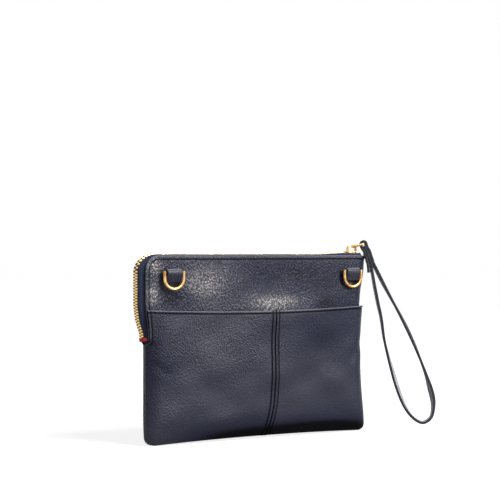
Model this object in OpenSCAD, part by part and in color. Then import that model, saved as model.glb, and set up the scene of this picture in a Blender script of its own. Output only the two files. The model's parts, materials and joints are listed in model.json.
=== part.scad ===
// Wristlet wallet: a soft zip pouch with two slip pockets, two D-rings and a wrist strap on the zip pull.
// Millimetres. +X runs right along the front, +Y points to the back, +Z up.
// The origin is on the base, under the middle of the body.

/* [Body] */
// Width of the panels between the side seams
panel_w = 238; // [200:2:270]
// Height of the panels from the base to the zip edge
panel_h = 164; // [146:2:190]
// Half thickness of the body at its fullest
belly = 12; // [10:0.5:15]
// Half width of the gusset along the zip
gusset = 8.5; // [8:0.25:9.5]
// Thickness of the panel leather
leather_t = 1.6; // [1:0.1:2]
// Radius of the panel corner that the zip runs round
zip_corner_r = 13; // [8:1:20]
// Radius of the top corner at the closed end of the zip
end_corner_r = 4; // [2:1:8]
// Radius of the bottom corners, seen from the front
base_corner_r = 9; // [5:1:14]
// Height over which the faces roll in to the base
base_roll = 24; // [14:1:34]
// Half width of the flat strip that the body stands on
base_half = 7.5; // [5:0.5:8]
// Width over which the faces roll in to the side seams
side_roll = 12; // [8:1:18]
// Most that the right side seam is drawn in at mid height
side_pull = 7; // [0:0.5:9]
// Height below the top over which that draw begins
side_pull_run = 34; // [26:1:44]
// How far the left side seam is drawn in below the zip
left_pull = 3; // [0:0.5:5]
// Height at which the left side begins to draw in
left_pull_z = 126; // [110:1:140]
// Height over which the left side draws in
left_pull_run = 30; // [20:1:50]

/* [Pockets] */
// Height of the pocket mouth above the base
pocket_h = 118; // [90:1:130]
// Distance of the dividing seam from the left side
pocket_seam_in = 130; // [100:1:150]
// Thickness of the pocket leather
pocket_t = 1.4; // [1:0.1:2]
// Most that the pocket mouth sags in the middle
pocket_sag = 3; // [0:0.5:6]
// Gap that the pocket mouth stands open
pocket_gape = 1.6; // [0.5:0.1:3]
// Width of the inner card slots
card_w = 96; // [80:2:110]
// Height of the lowest card slot's mouth
card_mouth_z = 62; // [50:1:70]
// Step from one card slot's mouth to the next
card_step = 13; // [8:1:16]

/* [Lining] */
// Thickness of the lining cloth
lining_t = 0.5; // [0.3:0.1:0.8]
// Distance of the lining's edge from the panel's edge
lining_in = 7; // [6.5:0.5:10]

/* [Opening] */
// Distance of the zip's closed end from the right side
zip_end_in = 4.5; // [3.5:0.5:8]
// Height of the zip's lower end on the left side
zip_end_z = 93; // [70:1:100]
// Height over which the gusset closes below the zip
zip_taper = 22; // [14:1:30]
// Height of the fold on the left side when the mouth is pulled open
fold_left_z = 123; // [122:1:134]
// Distance of the fold's other end from the right side
fold_right_in = 33; // [30:1:60]

/* [Zip] */
// Spacing of the teeth on one tape
tooth_pitch = 2.43; // [2:0.01:3]
// Length of a tooth along the tape
tooth_len = 1.1; // [0.8:0.1:1.2]
// Thickness of the chain
chain_t = 2.2; // [1.6:0.1:2.4]
// Half width of the chain
chain_half = 3.3; // [2.8:0.1:3.6]
// Height of the chain above the top edges of the panels
chain_rise = 3; // [2.6:0.1:4.5]
// Reach of the chain out of the left side
chain_side = 4.7; // [4:0.1:5.5]
// Thickness of the zip tape
tape_t = 0.6; // [0.4:0.1:0.8]
// Length of tape tucked under the panel edge
tape_tuck = 5; // [3:0.5:6]

/* [Slider] */
// Length of the slider
slider_len = 12.5; // [10:0.5:15]
// Width of the slider at its wide end
slider_w = 9.6; // [9.2:0.2:11]
// Thickness of the slider's plates
plate_t = 1; // [0.8:0.1:1.4]
// Height of the straight legs of the bridge
bridge_leg = 2.4; // [1.5:0.1:3]
// Outer radius of the bridge's bends
bridge_r = 4.2; // [3.8:0.1:5]
// Width of the bridge
bridge_w = 3.2; // [2.4:0.2:4]

/* [Pull and strap] */
// Length of the pull ring between its two bars
pull_len = 11; // [10:0.5:16]
// Wire radius of the pull ring
pull_wire_r = 1; // [0.8:0.1:1.2]
// Angle that the pull ring rises above the zip
pull_rise = 14; // [8:1:40]
// Angle that the pull ring turns towards the front
pull_turn = 32; // [20:1:35]
// Width of the strap
strap_w = 7.6; // [6:0.2:8]
// Thickness of the strap
strap_t = 2; // [1.6:0.1:2.2]
// Height of the strap loop's lowest edge above the ground
strap_ground = 6; // [3:0.5:20]
// Reach of the strap loop from the pull ring, level with the ground
strap_reach = 66; // [50:1:80]

/* [D-rings] */
// Clear width inside a D-ring
ring_inner_w = 16; // [14:0.5:20]
// Wire radius of a D-ring
ring_wire_r = 1.4; // [1:0.1:1.8]
// Length of a D-ring's straight sides
ring_side = 5; // [3:0.5:8]
// Distance of the D-ring's bar below the zip edge
ring_drop = 13; // [11:0.5:16]
// Distance of the left D-ring from the left side
ring_left_in = 26; // [24:0.5:40]
// Distance of the right D-ring from the right side
ring_right_in = 20.5; // [20:0.5:24]
// Width of a D-ring's leather tab
tab_w = 13.5; // [8:0.5:14]
// Thickness of the tab leather
tab_t = 1.2; // [0.8:0.1:1.6]
// Length of the tab below the bar
tab_len = 9; // [7:0.5:10]

/* [Hidden] */
$fn = 48;

// Clearance between layers and between moving pieces
gap = 0.3;
// Half of the gap between the two panels at a seam
seam_half = 0.2;
half_w = panel_w/2;
fold_x = half_w - fold_right_in;
pocket_seam_x = pocket_seam_in - half_w;
leather = "#3b3e4a";
leather_dark = "#2f323d";
navy_cloth = "#2a3255";
lining_cloth = "#8c8578";
gold = "#d9ac58";
tack_red = "#c8323f";

// Share of the columns on each side that lies in a side roll
roll_u = 0.12;
// Row value at the front edge of the flat base; rows above zero count millimetres over the base roll
flat_g = -0.6;

function lerp(a, b, t) = a + (b - a)*t;
function clamp(t) = max(0, min(1, t));
function smooth(t) = let (c = clamp(t)) c*c*(3 - 2*c);
function steps(a, b, n) = [for (i = [0:n]) lerp(a, b, i/n)];
function tail(list) = [for (i = [1:len(list) - 1]) list[i]];

// Skin of the body: a column u runs from 0 at the left side to 1 at the right
function col_x(u) =
    u < roll_u ? -half_w + side_roll*(1 - cos(90*u/roll_u)) :
    u > 1 - roll_u ? half_w - side_roll*(1 - cos(90*(1 - u)/roll_u)) :
    lerp(side_roll - half_w, half_w - side_roll, (u - roll_u)/(1 - 2*roll_u));
function col_of(x) = roll_u + (1 - 2*roll_u)*(x + half_w - side_roll)/(panel_w - 2*side_roll);
function roll_share(u) = sin(90*min(1, u/roll_u));

function corner_rise(d, r) = d >= r ? 0 : r - sqrt(r*r - (r - d)*(r - d));
function bottom_z(x) = corner_rise(half_w - abs(x), base_corner_r);
function top_z(x) = panel_h - corner_rise(half_w + x, zip_corner_r) - corner_rise(half_w - x, end_corner_r);
function fold_z(x) = lerp(fold_left_z, panel_h, (x + half_w)/(fold_x + half_w));

// Share of the gusset that is open at a height on the left side
function zip_share(z) = smooth((z - zip_end_z + zip_taper)/zip_taper);
function belly_share(x, z) = (1 - pow(x/half_w, 2))*(1 - pow(2*z/panel_h - 1, 2));
function full_half(x, z) = gusset + (belly - gusset)*belly_share(x, z);
function side_share(u, z) = roll_share(1 - u)*lerp(roll_share(u), 1, zip_share(z));

function row_z(x, g) = bottom_z(x) + (g >= 0 ? base_roll + g :
    g > flat_g ? base_roll*(1 - cos(90*(1 - g/flat_g))) : 0);
function row_half(x, z, g) =
    g >= 0 ? full_half(x, z) :
    g > flat_g ? lerp(base_half, full_half(x, z), sin(90*(1 - g/flat_g))) :
    g > -1 ? lerp(seam_half, base_half, (g + 1)/(flat_g + 1)) :
    lerp(seam_half, 2*gap - base_half, -1 - g);
function row_of(x, z) = z - bottom_z(x) - base_roll;

// Inward draw of the side seams at a height
function left_draw(z) = left_pull*smooth((left_pull_z - z)/left_pull_run);
function right_draw(z) = side_pull*(1 - pow(2*z/panel_h - 1, 2))*smooth((panel_h - z)/side_pull_run);

function skin(u, g) =
    let (x = col_x(u), z = row_z(x, g))
    let (right = right_draw(z)*pow(max(0, x)/half_w, 2), left = left_draw(z)*pow(max(0, -x)/half_w, 2))
    [x - right + left, -seam_half - (row_half(x, z, g) - seam_half)*side_share(u, z), z];
function inward(u, g) =
    let (c = max(0.002, min(0.998, u)), low = g >= 0 ? g : max(-2, g - 0.02))
    let (high = g >= 0 ? g + 1 : min(0, g + 0.02))
    let (n = cross(skin(c, high) - skin(c, low), skin(c + 0.002, g) - skin(c - 0.002, g)))
    n/norm(n);
// Point at a depth under the skin; a negative depth lies outside
function layer(u, g, depth) = skin(u, g) + depth*inward(u, g);

function patch_faces(nc, nr) = let (m = nc*nr) concat(
    [for (i = [0:nc - 2]) for (j = [0:nr - 2])
        let (a = i*nr + j, b = a + nr, c = b + 1, d = a + 1)
        each [[a, d, c], [a, c, b], [m + a, m + b, m + c], [m + a, m + c, m + d]]],
    [for (i = [0:nc - 2]) let (a = i*nr, b = a + nr) each [[a, b, m + b], [a, m + b, m + a]]],
    [for (i = [0:nc - 2]) let (d = i*nr + nr - 1, c = d + nr) each [[c, d, m + d], [c, m + d, m + c]]],
    [for (a = [0:nr - 2]) let (d = a + 1) each [[d, a, m + a], [d, m + a, m + d]]],
    [for (j = [0:nr - 2]) let (b = (nc - 1)*nr + j, c = b + 1) each [[b, c, m + c], [b, m + c, m + b]]]);

// Sheet that follows the skin between two depths
module patch(columns, rows, outer, inner) {
    grid = [for (u = columns) rows(u)];
    nc = len(columns);
    points = [for (depth = [outer, inner]) for (i = [0:nc - 1]) for (g = grid[i])
        layer(columns[i], g, depth(g))];
    polyhedron(points, patch_faces(nc, len(grid[0])), convexity = 6);
}

left_roll = steps(0, roll_u, 6);
right_roll = steps(1 - roll_u, 1, 5);
fold_u = col_of(fold_x);
seam_u = col_of(pocket_seam_x);
// Length of the flap's thin tip that is left off, where the fold meets the zip edge
flap_tip = 9;
flap_u = col_of(fold_x - flap_tip);
all_columns = concat(left_roll, tail(steps(roll_u, fold_u, 12)), tail(steps(fold_u, 1 - roll_u, 2)),
    tail(right_roll));
flap_columns = concat(left_roll, tail(steps(roll_u, flap_u, 12)));
base_rows = [flat_g, -0.45, -0.3, -0.15, 0];
leather_out = function(g) 0;
leather_in = function(g) leather_t;

module back_panel() {
    color(leather) mirror([0, 1, 0]) patch(
        all_columns,
        function(u) concat([-2, -1], base_rows, tail(steps(0, row_of(col_x(u), top_z(col_x(u))), 8))),
        leather_out, leather_in);
}

module front_panel() {
    color(leather) patch(
        all_columns,
        function(u) let (x = col_x(u), z = min(top_z(x), fold_z(x) - gap/2))
            concat(base_rows, tail(steps(0, row_of(x, z), 7))),
        leather_out, leather_in);
}

module front_flap() {
    color(leather) patch(
        flap_columns,
        function(u) let (x = col_x(u))
            steps(row_of(x, fold_z(x) + gap/2), row_of(x, top_z(x)), 3),
        leather_out, leather_in);
}

// Slip pockets: gap to the front panel grows towards the mouth, which sags in the middle
pocket_base = [-0.5, -0.38, -0.25, -0.12];
function pocket_gap(g) = gap + (pocket_gape - gap)*pow(clamp(g/(pocket_h - base_roll)), 3);
pocket_out = function(g) -pocket_gap(g) - pocket_t;
pocket_in = function(g) -pocket_gap(g);
pocket_row = function(u) let (x = col_x(u), z = pocket_h - pocket_sag*(1 - pow(x/half_w, 2)))
    concat(pocket_base, steps(0, row_of(x, z), 7));

module pocket_left() {
    color(leather_dark)
        patch(concat(left_roll, tail(steps(roll_u, seam_u - 0.0006, 7))), pocket_row, pocket_out, pocket_in);
}

module pocket_right() {
    color(leather_dark)
        patch(concat(steps(seam_u + 0.0006, 1 - roll_u, 5), tail(right_roll)), pocket_row, pocket_out, pocket_in);
}

// Lining cloth behind the leather, clear of the tucked zip tape
lining_out = function(g) leather_t + gap;
lining_back_face = function(g) leather_t + gap + lining_t;
lining_left_u = roll_u*acos(1 - lining_in/side_roll)/90;
lining_columns = concat(steps(lining_left_u, roll_u, 2), tail(steps(roll_u, 1 - roll_u, 10)),
    [1 - (roll_u + lining_left_u)/2, 1 - lining_left_u]);
lining_base = [-0.3, -0.15, 0];
function lining_top(x) = top_z(x) - lining_in;
// Fold line of the lining, kept clear of the flap's lining
function lining_fold(x) = fold_z(x) - gap/2;

module lining_back() {
    color(lining_cloth) mirror([0, 1, 0]) patch(
        lining_columns,
        function(u) let (x = col_x(u)) concat(lining_base, tail(steps(0, row_of(x, lining_top(x)), 6))),
        lining_out, lining_back_face);
}

module lining_front() {
    color(lining_cloth) patch(
        lining_columns,
        function(u) let (x = col_x(u), z = min(lining_top(x), lining_fold(x)))
            concat(lining_base, tail(steps(0, row_of(x, z), 6))),
        lining_out, lining_back_face);
}

// The flap's lining ends where the fold line meets the lining's upper edge
lining_tip_x = fold_x - (fold_x + half_w)*(lining_in + 2)/(panel_h - fold_left_z);

module lining_flap() {
    color(lining_cloth) patch(
        concat(steps(lining_left_u, roll_u, 2), tail(steps(roll_u, col_of(lining_tip_x), 8))),
        function(u) let (x = col_x(u))
            steps(row_of(x, fold_z(x) + gap/2), row_of(x, lining_top(x)), 2),
        lining_out, lining_back_face);
}

// Card slots: three stepped cloth sheets on the back lining
card_bottom_z = base_roll + 4;
module card_slot(level) {
    near = leather_t + lining_t + gap*2 + (lining_t + gap)*(2 - level);
    top = card_mouth_z + card_step*level;
    color(lining_cloth) mirror([0, 1, 0]) patch(
        steps(col_of(-card_w/2), col_of(card_w/2), 6),
        function(u) steps(row_of(0, card_bottom_z), row_of(0, top), 3),
        function(g) near, function(g) near + lining_t);
}

module card_slot_low() card_slot(0);
module card_slot_middle() card_slot(1);
module card_slot_high() card_slot(2);

// Zip route along the panel edge, from the closed end on the right, round the corner and down the left side
zip_start_x = half_w - zip_end_in;
zip_top_len = zip_start_x + half_w - zip_corner_r;
zip_arc_len = PI/2*zip_corner_r;
zip_arc_end = zip_top_len + zip_arc_len;
zip_end_s = zip_arc_end + panel_h - zip_corner_r - zip_end_z;
// Length of tape that runs on below the last tooth
tape_end_s = zip_end_s + 0.6*zip_taper;
fold_right_s = zip_start_x - fold_x;
fold_left_s = zip_arc_end + panel_h - zip_corner_r - fold_left_z;
// Length over which the chain sinks in between the panels at its lower end
chain_sink = 18;
chain_low = 1.6;

function route_turn(s) = 90*clamp((s - zip_top_len)/zip_arc_len);
function route_out(s) = let (a = route_turn(s)) [-sin(a), 0, cos(a)];
function route_point(s) =
    let (drop = max(0, s - zip_arc_end))
    s < zip_top_len ? [zip_start_x - s, 0, panel_h] :
    [zip_corner_r - half_w, 0, panel_h - zip_corner_r] + zip_corner_r*route_out(s)
        + [left_draw(panel_h - zip_corner_r - drop), 0, -drop];
function chain_out(s) =
    let (z = route_point(s)[2], rise = lerp(chain_rise, chain_side, smooth(route_turn(s)/90)))
    lerp(0, lerp(chain_low, rise, smooth((z - zip_end_z)/chain_sink)), zip_share(z));
// Half width of the gusset along the route
function route_half(s) =
    let (p = route_point(s), d = half_w - p[0])
    let (right = d < side_roll ? sqrt(1 - pow(1 - d/side_roll, 2)) : 1)
    seam_half + (gusset - seam_half)*right*zip_share(p[2]);
function route_at(s, out, y) = route_point(s) + out*route_out(s) + [0, y, 0];

function tape_ring(s) =
    let (y = leather_t + 2*gap - route_half(s), out = chain_out(s))
    let (edge = max(y + tape_t + gap, -chain_half - gap/2))
    [route_at(s, -tape_tuck, y), route_at(s, gap, y), route_at(s, out, edge),
     route_at(s, out - tape_t, edge), route_at(s, 0, y + tape_t), route_at(s, -tape_tuck, y + tape_t)];
ring_n = 6;
cap_faces = [[0, 1, 4], [0, 4, 5], [1, 2, 3], [1, 3, 4]];

module tape(stations) {
    last = ring_n*(len(stations) - 1);
    sides = [for (k = [0:len(stations) - 2]) for (i = [0:ring_n - 1])
        let (p = ring_n*k + i, q = ring_n*k + (i + 1) % ring_n)
        each [[q, p, p + ring_n], [q, p + ring_n, q + ring_n]]];
    ends = concat(cap_faces, [for (f = cap_faces) [last + f[2], last + f[1], last + f[0]]]);
    polyhedron([for (s = stations) each tape_ring(s)], concat(sides, ends), convexity = 6);
}

right_stations = steps(0, side_roll - zip_end_in, 3);
arc_stations = steps(zip_top_len, zip_arc_end, 7);
low_stations = concat(steps(zip_end_s - chain_sink, zip_end_s, 4), tail(steps(zip_end_s, tape_end_s, 4)));

module zip_tape_back() {
    color(navy_cloth) mirror([0, 1, 0]) tape(concat(right_stations, arc_stations, low_stations));
}

module zip_tape_front() {
    color(navy_cloth) {
        tape(concat(right_stations, [fold_right_s - gap/2]));
        tape(concat([fold_left_s + gap/2], low_stations));
    }
}

module zip_tape_flap() {
    color(navy_cloth) tape(concat([fold_right_s + gap/2], arc_stations, [fold_left_s - gap/2]));
}

// The closed slider stands against the top stops
stop_len = 1.8;
slider_x = zip_start_x - stop_len - 2*gap - slider_len/2;

// Teeth stop short of the middle, so that the slider's neck can pass between the two rows
neck_half = 0.4;
tooth_in = neck_half + 0.2;
first_tooth_s = zip_start_x - slider_x + slider_len/2 - 3;
tooth_count = floor((zip_end_s - first_tooth_s)/tooth_pitch);

module tooth(s, back) {
    y = back ? tooth_in : -chain_half;
    translate(route_at(s, chain_out(s) - chain_t/2, y))
        rotate([0, -route_turn(s), 0])
            translate([-tooth_len/2, 0, 0])
                cube([tooth_len, chain_half - tooth_in, chain_t]);
}

module teeth(from, to, back) {
    shift = back ? tooth_pitch/2 : 0;
    for (i = [0:tooth_count - 1]) {
        s = first_tooth_s + shift + i*tooth_pitch;
        if (s - tooth_len/2 > from && s + tooth_len/2 < to) tooth(s, back);
    }
}

module zip_teeth_back() { color(gold) teeth(0, zip_end_s, true); }

module zip_teeth_front() {
    color(gold) {
        teeth(0, fold_right_s, false);
        teeth(fold_left_s, zip_end_s, false);
    }
}

module zip_teeth_flap() { color(gold) teeth(fold_right_s, fold_left_s, false); }

module zip_top_stops() {
    color(gold) for (side = [0, 1]) mirror([0, side, 0])
        translate([zip_start_x - stop_len - gap, tooth_in, panel_h + chain_rise - chain_t/2])
            cube([stop_len, chain_half - tooth_in, chain_t]);
}

tack_t = 0.8;
module zip_bar_tack() {
    s = zip_end_s + tooth_pitch;
    color(tack_red) translate(route_at(s, chain_out(s) + gap, -chain_half))
        translate([-tack_t, 0, -tooth_len])
            cube([tack_t, 2*chain_half, 2*tooth_len]);
}

// Leather tab over the closed end of the zip
end_tab_len = 2.5;
end_tab_half = chain_half + 1;
module zip_end_tab() {
    low = panel_h + gap;
    high = panel_h + chain_rise - chain_t/2;
    left = zip_start_x + gap;
    color(leather_dark) translate([0, end_tab_half, 0]) rotate([90, 0, 0])
        linear_extrude(2*end_tab_half) polygon([
            [left, low], [left, high], [left + end_tab_len/2, high - 0.4],
            [left + end_tab_len, low + 0.7], [left + end_tab_len, low]]);
}

// Slider: two plates joined by a neck at the leading end
slider_low = panel_h + chain_rise - chain_t/2 - 2*gap;
slider_high = panel_h + chain_rise + chain_t/2 + 2*gap;
lip_t = 0.6;
lip_drop = 0.8;
plate_nose = 2;
tail_w = 2*(chain_half + gap + lip_t);
low_plate_w = 2*chain_half - 0.4;

function plate_outline(wide, narrow) = [
    [-slider_len/2, -narrow/2], [0, -narrow/2], [slider_len/2 - plate_nose, -wide/2],
    [slider_len/2, -wide/2 + plate_nose], [slider_len/2, wide/2 - plate_nose],
    [slider_len/2 - plate_nose, wide/2], [0, narrow/2], [-slider_len/2, narrow/2]];

module slider_body() {
    color(gold) translate([slider_x, 0, 0]) {
        translate([0, 0, slider_high]) linear_extrude(plate_t) polygon(plate_outline(slider_w, tail_w));
        translate([0, 0, slider_low - plate_t])
            linear_extrude(plate_t) polygon(plate_outline(low_plate_w, low_plate_w - 1));
        translate([slider_len/2 - plate_nose, -neck_half, slider_low - plate_t/2])
            cube([plate_nose/2, 2*neck_half, slider_high - slider_low + plate_t]);
        for (side = [0, 1]) mirror([0, side, 0])
            translate([-slider_len/2, tail_w/2 - lip_t, slider_high - lip_drop])
                cube([slider_len/2, lip_t, lip_drop + plate_t/2]);
    }
}

// Bridge: arched strip over the slider, open underneath for the pull ring
bridge_t = 1;
bridge_span = 0.9;
bridge_z = slider_high + plate_t;

module bridge_outline(r) {
    for (side = [-1, 1]) translate([side*bridge_span, bridge_leg]) circle(r);
    translate([-bridge_span, bridge_leg]) square([2*bridge_span, r]);
    translate([-bridge_span - r, 0]) square([2*(bridge_span + r), bridge_leg]);
}

module slider_bridge() {
    color(gold) translate([slider_x, bridge_w/2, bridge_z]) rotate([90, 0, 0]) linear_extrude(bridge_w)
        intersection() {
            difference() {
                bridge_outline(bridge_r);
                bridge_outline(bridge_r - bridge_t);
            }
            translate([-2*bridge_r, 0]) square([4*bridge_r, 3*bridge_r]);
        }
}

// Pull ring: its near bar lies under the bridge, its far bar holds the strap
pull_x = slider_x + 1;
pull_z = bridge_z + bridge_leg + bridge_r - bridge_t - pull_wire_r - 2*gap;
pull_half = strap_w/2 + gap + pull_wire_r + 0.3;
pull_corner_r = pull_wire_r + 0.6;

// Frame of the pull ring: x along the ring, y along its bars
module at_pull() {
    translate([pull_x, 0, pull_z]) rotate([0, 0, -pull_turn]) rotate([0, -pull_rise, 0]) children();
}

module pull_bar(len) { rotate([90, 0, 0]) cylinder(r = pull_wire_r, h = len, center = true); }

module pull_ring() {
    reach = pull_len - 2*pull_corner_r;
    color(gold) at_pull() {
        for (x = [0, pull_len]) translate([x, 0, 0]) pull_bar(2*(pull_half - pull_corner_r));
        for (side = [-1, 1]) {
            translate([pull_corner_r, side*pull_half, 0]) rotate([0, 90, 0])
                cylinder(r = pull_wire_r, h = reach);
            for (far = [0, 1])
                translate([far ? pull_len - pull_corner_r : pull_corner_r, side*(pull_half - pull_corner_r), 0])
                    rotate([0, 0, far ? (side > 0 ? 0 : -90) : (side > 0 ? 90 : 180)])
                        rotate_extrude(angle = 90) translate([pull_corner_r, 0]) circle(pull_wire_r);
        }
    }
}

// Strap: one strip that hangs as a loop, passes over the far bar and ends in a short tail sewn over the loop's end
strap_x = pull_x + pull_len*cos(pull_rise)*cos(pull_turn);
strap_y = -pull_len*cos(pull_rise)*sin(pull_turn);
strap_z = pull_z + pull_len*sin(pull_rise);
strap_drop = strap_z - strap_ground - strap_t/2;
fold_r = pull_wire_r + gap + strap_t/2;
// Step from one strap layer to the next where they are sewn together
layer_step = strap_t + 0.5;

// The stack of three layers under the ring, as its middle and its lean
stack_top = [4.6, -9.5];
stack_low = [7, -20.5];
function stack(t, side) = lerp(stack_top, stack_low, t) + side*layer_step*[0.98, 0.2];
function loop_at(reach, drop) = [reach*strap_reach, -drop*strap_drop];

strap_route = concat(
    [for (t = [0, 0.34, 0.67, 1]) stack(t, 0)],
    [loop_at(0.135, 0.185), loop_at(0.165, 0.25), loop_at(0.205, 0.33), loop_at(0.255, 0.42),
     loop_at(0.30, 0.54), loop_at(0.385, 0.67), loop_at(0.50, 0.82), loop_at(0.60, 0.915),
     loop_at(0.72, 0.975), loop_at(0.85, 1), loop_at(0.965, 0.972), loop_at(1, 0.915),
     loop_at(0.985, 0.85), loop_at(0.90, 0.735), loop_at(0.79, 0.62), loop_at(0.67, 0.51),
     loop_at(0.53, 0.40), loop_at(0.39, 0.30), loop_at(0.28, 0.22), loop_at(0.21, 0.165)],
    [for (t = [1, 0.67, 0.34, 0]) stack(t, 1)],
    [[fold_r + 3.3, -5.6], [fold_r + 1.3, -2.4]],
    [for (a = [0:45:180]) fold_r*[cos(a), sin(a)]],
    [[0.6 - fold_r, -2.4], [2.2 - fold_r, -5.8]],
    [for (t = [0, 0.34, 0.67, 1, 1.15]) stack(t, -1)]);

function spline(p, i, t) =
    let (a = p[max(0, i - 1)], b = p[i], c = p[i + 1], d = p[min(len(p) - 1, i + 2)])
    0.5*(2*b + (c - a)*t + (2*a - 5*b + 4*c - d)*t*t + (3*b - a - 3*c + d)*t*t*t);
strap_line = concat(
    [for (i = [0:len(strap_route) - 2]) for (t = [0, 0.5]) spline(strap_route, i, t)],
    [strap_route[len(strap_route) - 1]]);
function line_side(line, i, width) =
    let (d = line[min(len(line) - 1, i + 1)] - line[max(0, i - 1)])
    line[i] + width/norm(d)*[-d[1], d[0]];
strap_outline = concat(
    [for (i = [0:len(strap_line) - 1]) line_side(strap_line, i, strap_t/2)],
    [for (i = [len(strap_line) - 1:-1:0]) line_side(strap_line, i, -strap_t/2)]);

module wrist_strap() {
    color(leather_dark) translate([strap_x, strap_y, strap_z]) rotate([0, 0, -pull_turn])
        translate([0, strap_w/2, 0]) rotate([90, 0, 0]) linear_extrude(strap_w) polygon(strap_outline);
}

// D-rings hang from leather tabs sewn to the front
ring_z = panel_h - ring_drop;
ring_arm = ring_inner_w/2 + ring_wire_r;
tab_eye_r = ring_wire_r + gap;
function tab_seat(x) = min([for (side = [-0.5, 0, 0.5]) for (drop = [0, tab_len])
    skin(col_of(x + side*tab_w), row_of(x, ring_z - drop))[1]]) - gap;
function ring_y(x) = tab_seat(x) - tab_t - tab_eye_r;
ring_left_x = ring_left_in - half_w;
ring_right_x = half_w - ring_right_in;

module d_ring(x) {
    color(gold) translate([x, ring_y(x), ring_z]) {
        rotate([0, 90, 0]) cylinder(r = ring_wire_r, h = 2*ring_arm, center = true);
        for (side = [-1, 1]) {
            translate([side*ring_arm, 0, -ring_side]) cylinder(r = ring_wire_r, h = ring_side);
            translate([side*ring_arm, 0, 0]) sphere(ring_wire_r);
        }
        translate([0, 0, -ring_side]) rotate([90, 0, 0]) rotate([0, 0, 180])
            rotate_extrude(angle = 180) translate([ring_arm, 0]) circle(ring_wire_r);
    }
}

// Side view of a tab: back layer, bend over the bar, and front layer drawn in to the sewn end
module tab_outline() {
    outer = tab_eye_r + tab_t;
    difference() {
        union() {
            circle(outer);
            polygon([[-outer, 0], [tab_eye_r - tab_t, -tab_len], [outer, -tab_len], [outer, 0]]);
        }
        circle(tab_eye_r);
    }
}

module d_ring_tab(x) {
    color(leather_dark) translate([x - tab_w/2, ring_y(x), ring_z])
        rotate([90, 0, 90]) linear_extrude(tab_w) tab_outline();
}

module d_ring_left() d_ring(ring_left_x);
module d_ring_right() d_ring(ring_right_x);
module d_ring_tab_left() d_ring_tab(ring_left_x);
module d_ring_tab_right() d_ring_tab(ring_right_x);

back_panel();
front_panel();
front_flap();
pocket_left();
pocket_right();
lining_back();
lining_front();
lining_flap();
card_slot_low();
card_slot_middle();
card_slot_high();
zip_tape_back();
zip_tape_front();
zip_tape_flap();
zip_teeth_back();
zip_teeth_front();
zip_teeth_flap();
zip_top_stops();
zip_bar_tack();
zip_end_tab();
slider_body();
slider_bridge();
pull_ring();
wrist_strap();
d_ring_left();
d_ring_right();
d_ring_tab_left();
d_ring_tab_right();
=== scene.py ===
"""Looks of a wristlet wallet: pebbled leather, woven tape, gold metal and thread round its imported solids.

Sizes are millimetres in the fields and become metres when a mesh is made. +X runs right along the front,
+Y points to the back and +Z up.
"""

import json
import logging
import math
from dataclasses import dataclass, field
from enum import Enum
from typing import Any, Sequence

import bpy
import numpy as np
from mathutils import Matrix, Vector

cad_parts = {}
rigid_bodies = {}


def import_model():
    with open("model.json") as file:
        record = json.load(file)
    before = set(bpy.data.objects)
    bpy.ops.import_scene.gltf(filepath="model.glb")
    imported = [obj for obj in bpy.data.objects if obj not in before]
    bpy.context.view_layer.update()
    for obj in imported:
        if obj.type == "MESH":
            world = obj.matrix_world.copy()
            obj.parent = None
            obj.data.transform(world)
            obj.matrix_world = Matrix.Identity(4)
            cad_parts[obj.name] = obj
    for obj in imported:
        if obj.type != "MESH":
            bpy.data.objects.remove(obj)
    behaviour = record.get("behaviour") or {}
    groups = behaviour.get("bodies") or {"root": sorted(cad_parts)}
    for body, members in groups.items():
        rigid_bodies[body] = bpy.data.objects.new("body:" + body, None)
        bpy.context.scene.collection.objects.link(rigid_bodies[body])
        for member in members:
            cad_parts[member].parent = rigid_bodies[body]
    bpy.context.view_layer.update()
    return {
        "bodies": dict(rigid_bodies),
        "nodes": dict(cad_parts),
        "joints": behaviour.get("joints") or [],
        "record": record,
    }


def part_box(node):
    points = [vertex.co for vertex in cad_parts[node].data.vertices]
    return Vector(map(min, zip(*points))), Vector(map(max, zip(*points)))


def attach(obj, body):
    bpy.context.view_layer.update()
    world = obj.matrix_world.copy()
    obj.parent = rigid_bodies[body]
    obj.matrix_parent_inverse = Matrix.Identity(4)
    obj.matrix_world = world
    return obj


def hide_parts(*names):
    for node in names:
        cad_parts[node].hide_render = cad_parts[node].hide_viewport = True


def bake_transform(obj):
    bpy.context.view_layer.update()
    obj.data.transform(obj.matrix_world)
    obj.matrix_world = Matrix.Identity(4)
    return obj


Array = np.ndarray
Piece = bpy.types.Object
Material = bpy.types.Material
Socket = bpy.types.NodeSocket
Triple = tuple[float, float, float]
Colour = Triple
Pair = tuple[float, float]
Path = tuple[Pair, ...]
Row = tuple[Array, Array]

MM = 0.001
QUARTER = math.pi / 2
# Vertex marks: scuffing that also paints highlights on rims and folds; painted shade in grooves and hollows;
# gloss that also paints shade where low and glints where high; pebble strength.
WEAR_AND_PAINTED_HIGHLIGHT, PAINTED_SHADE, GLOSS_AND_PAINTED_LIGHT, GRAIN = "wear_and_painted_highlight", "groove", "sheen", "grain"
FLESH_SIDE, GRAIN_SIDE, CUT_EDGE = 0, 1, 2
SEAM_IN = 0.7
BAND_FADE = 0.7
RUB_WIDTH = 0.65
ON_TOP = 0.02
EDGE_STEPS = (0.0, 0.1, 0.3, 0.55, 0.85, 1.2, 1.6, 2.0, 2.3, 2.6, 2.9, 3.2, 3.5, 3.9, 4.6, 5.6, 7.0)
FACE_STEP = 1.4
SEWING_STEP = 1.5

log = logging.getLogger("wristlet")


class Slot(Enum):
    """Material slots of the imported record."""

    LEATHER = "leather"
    LEATHER_DARK = "leather_dark"
    LINING = "lining"
    TAPE = "zip_tape"
    GOLD = "gold_metal"
    RED = "red_thread"


class Body(Enum):
    """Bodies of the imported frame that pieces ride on."""

    BAG = "bag"
    FLAP = "mouth_flap"
    SLIDER = "slider"
    PULL = "pull"
    STRAP = "strap"
    LEFT_RING = "left_ring"
    RIGHT_RING = "right_ring"


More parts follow.
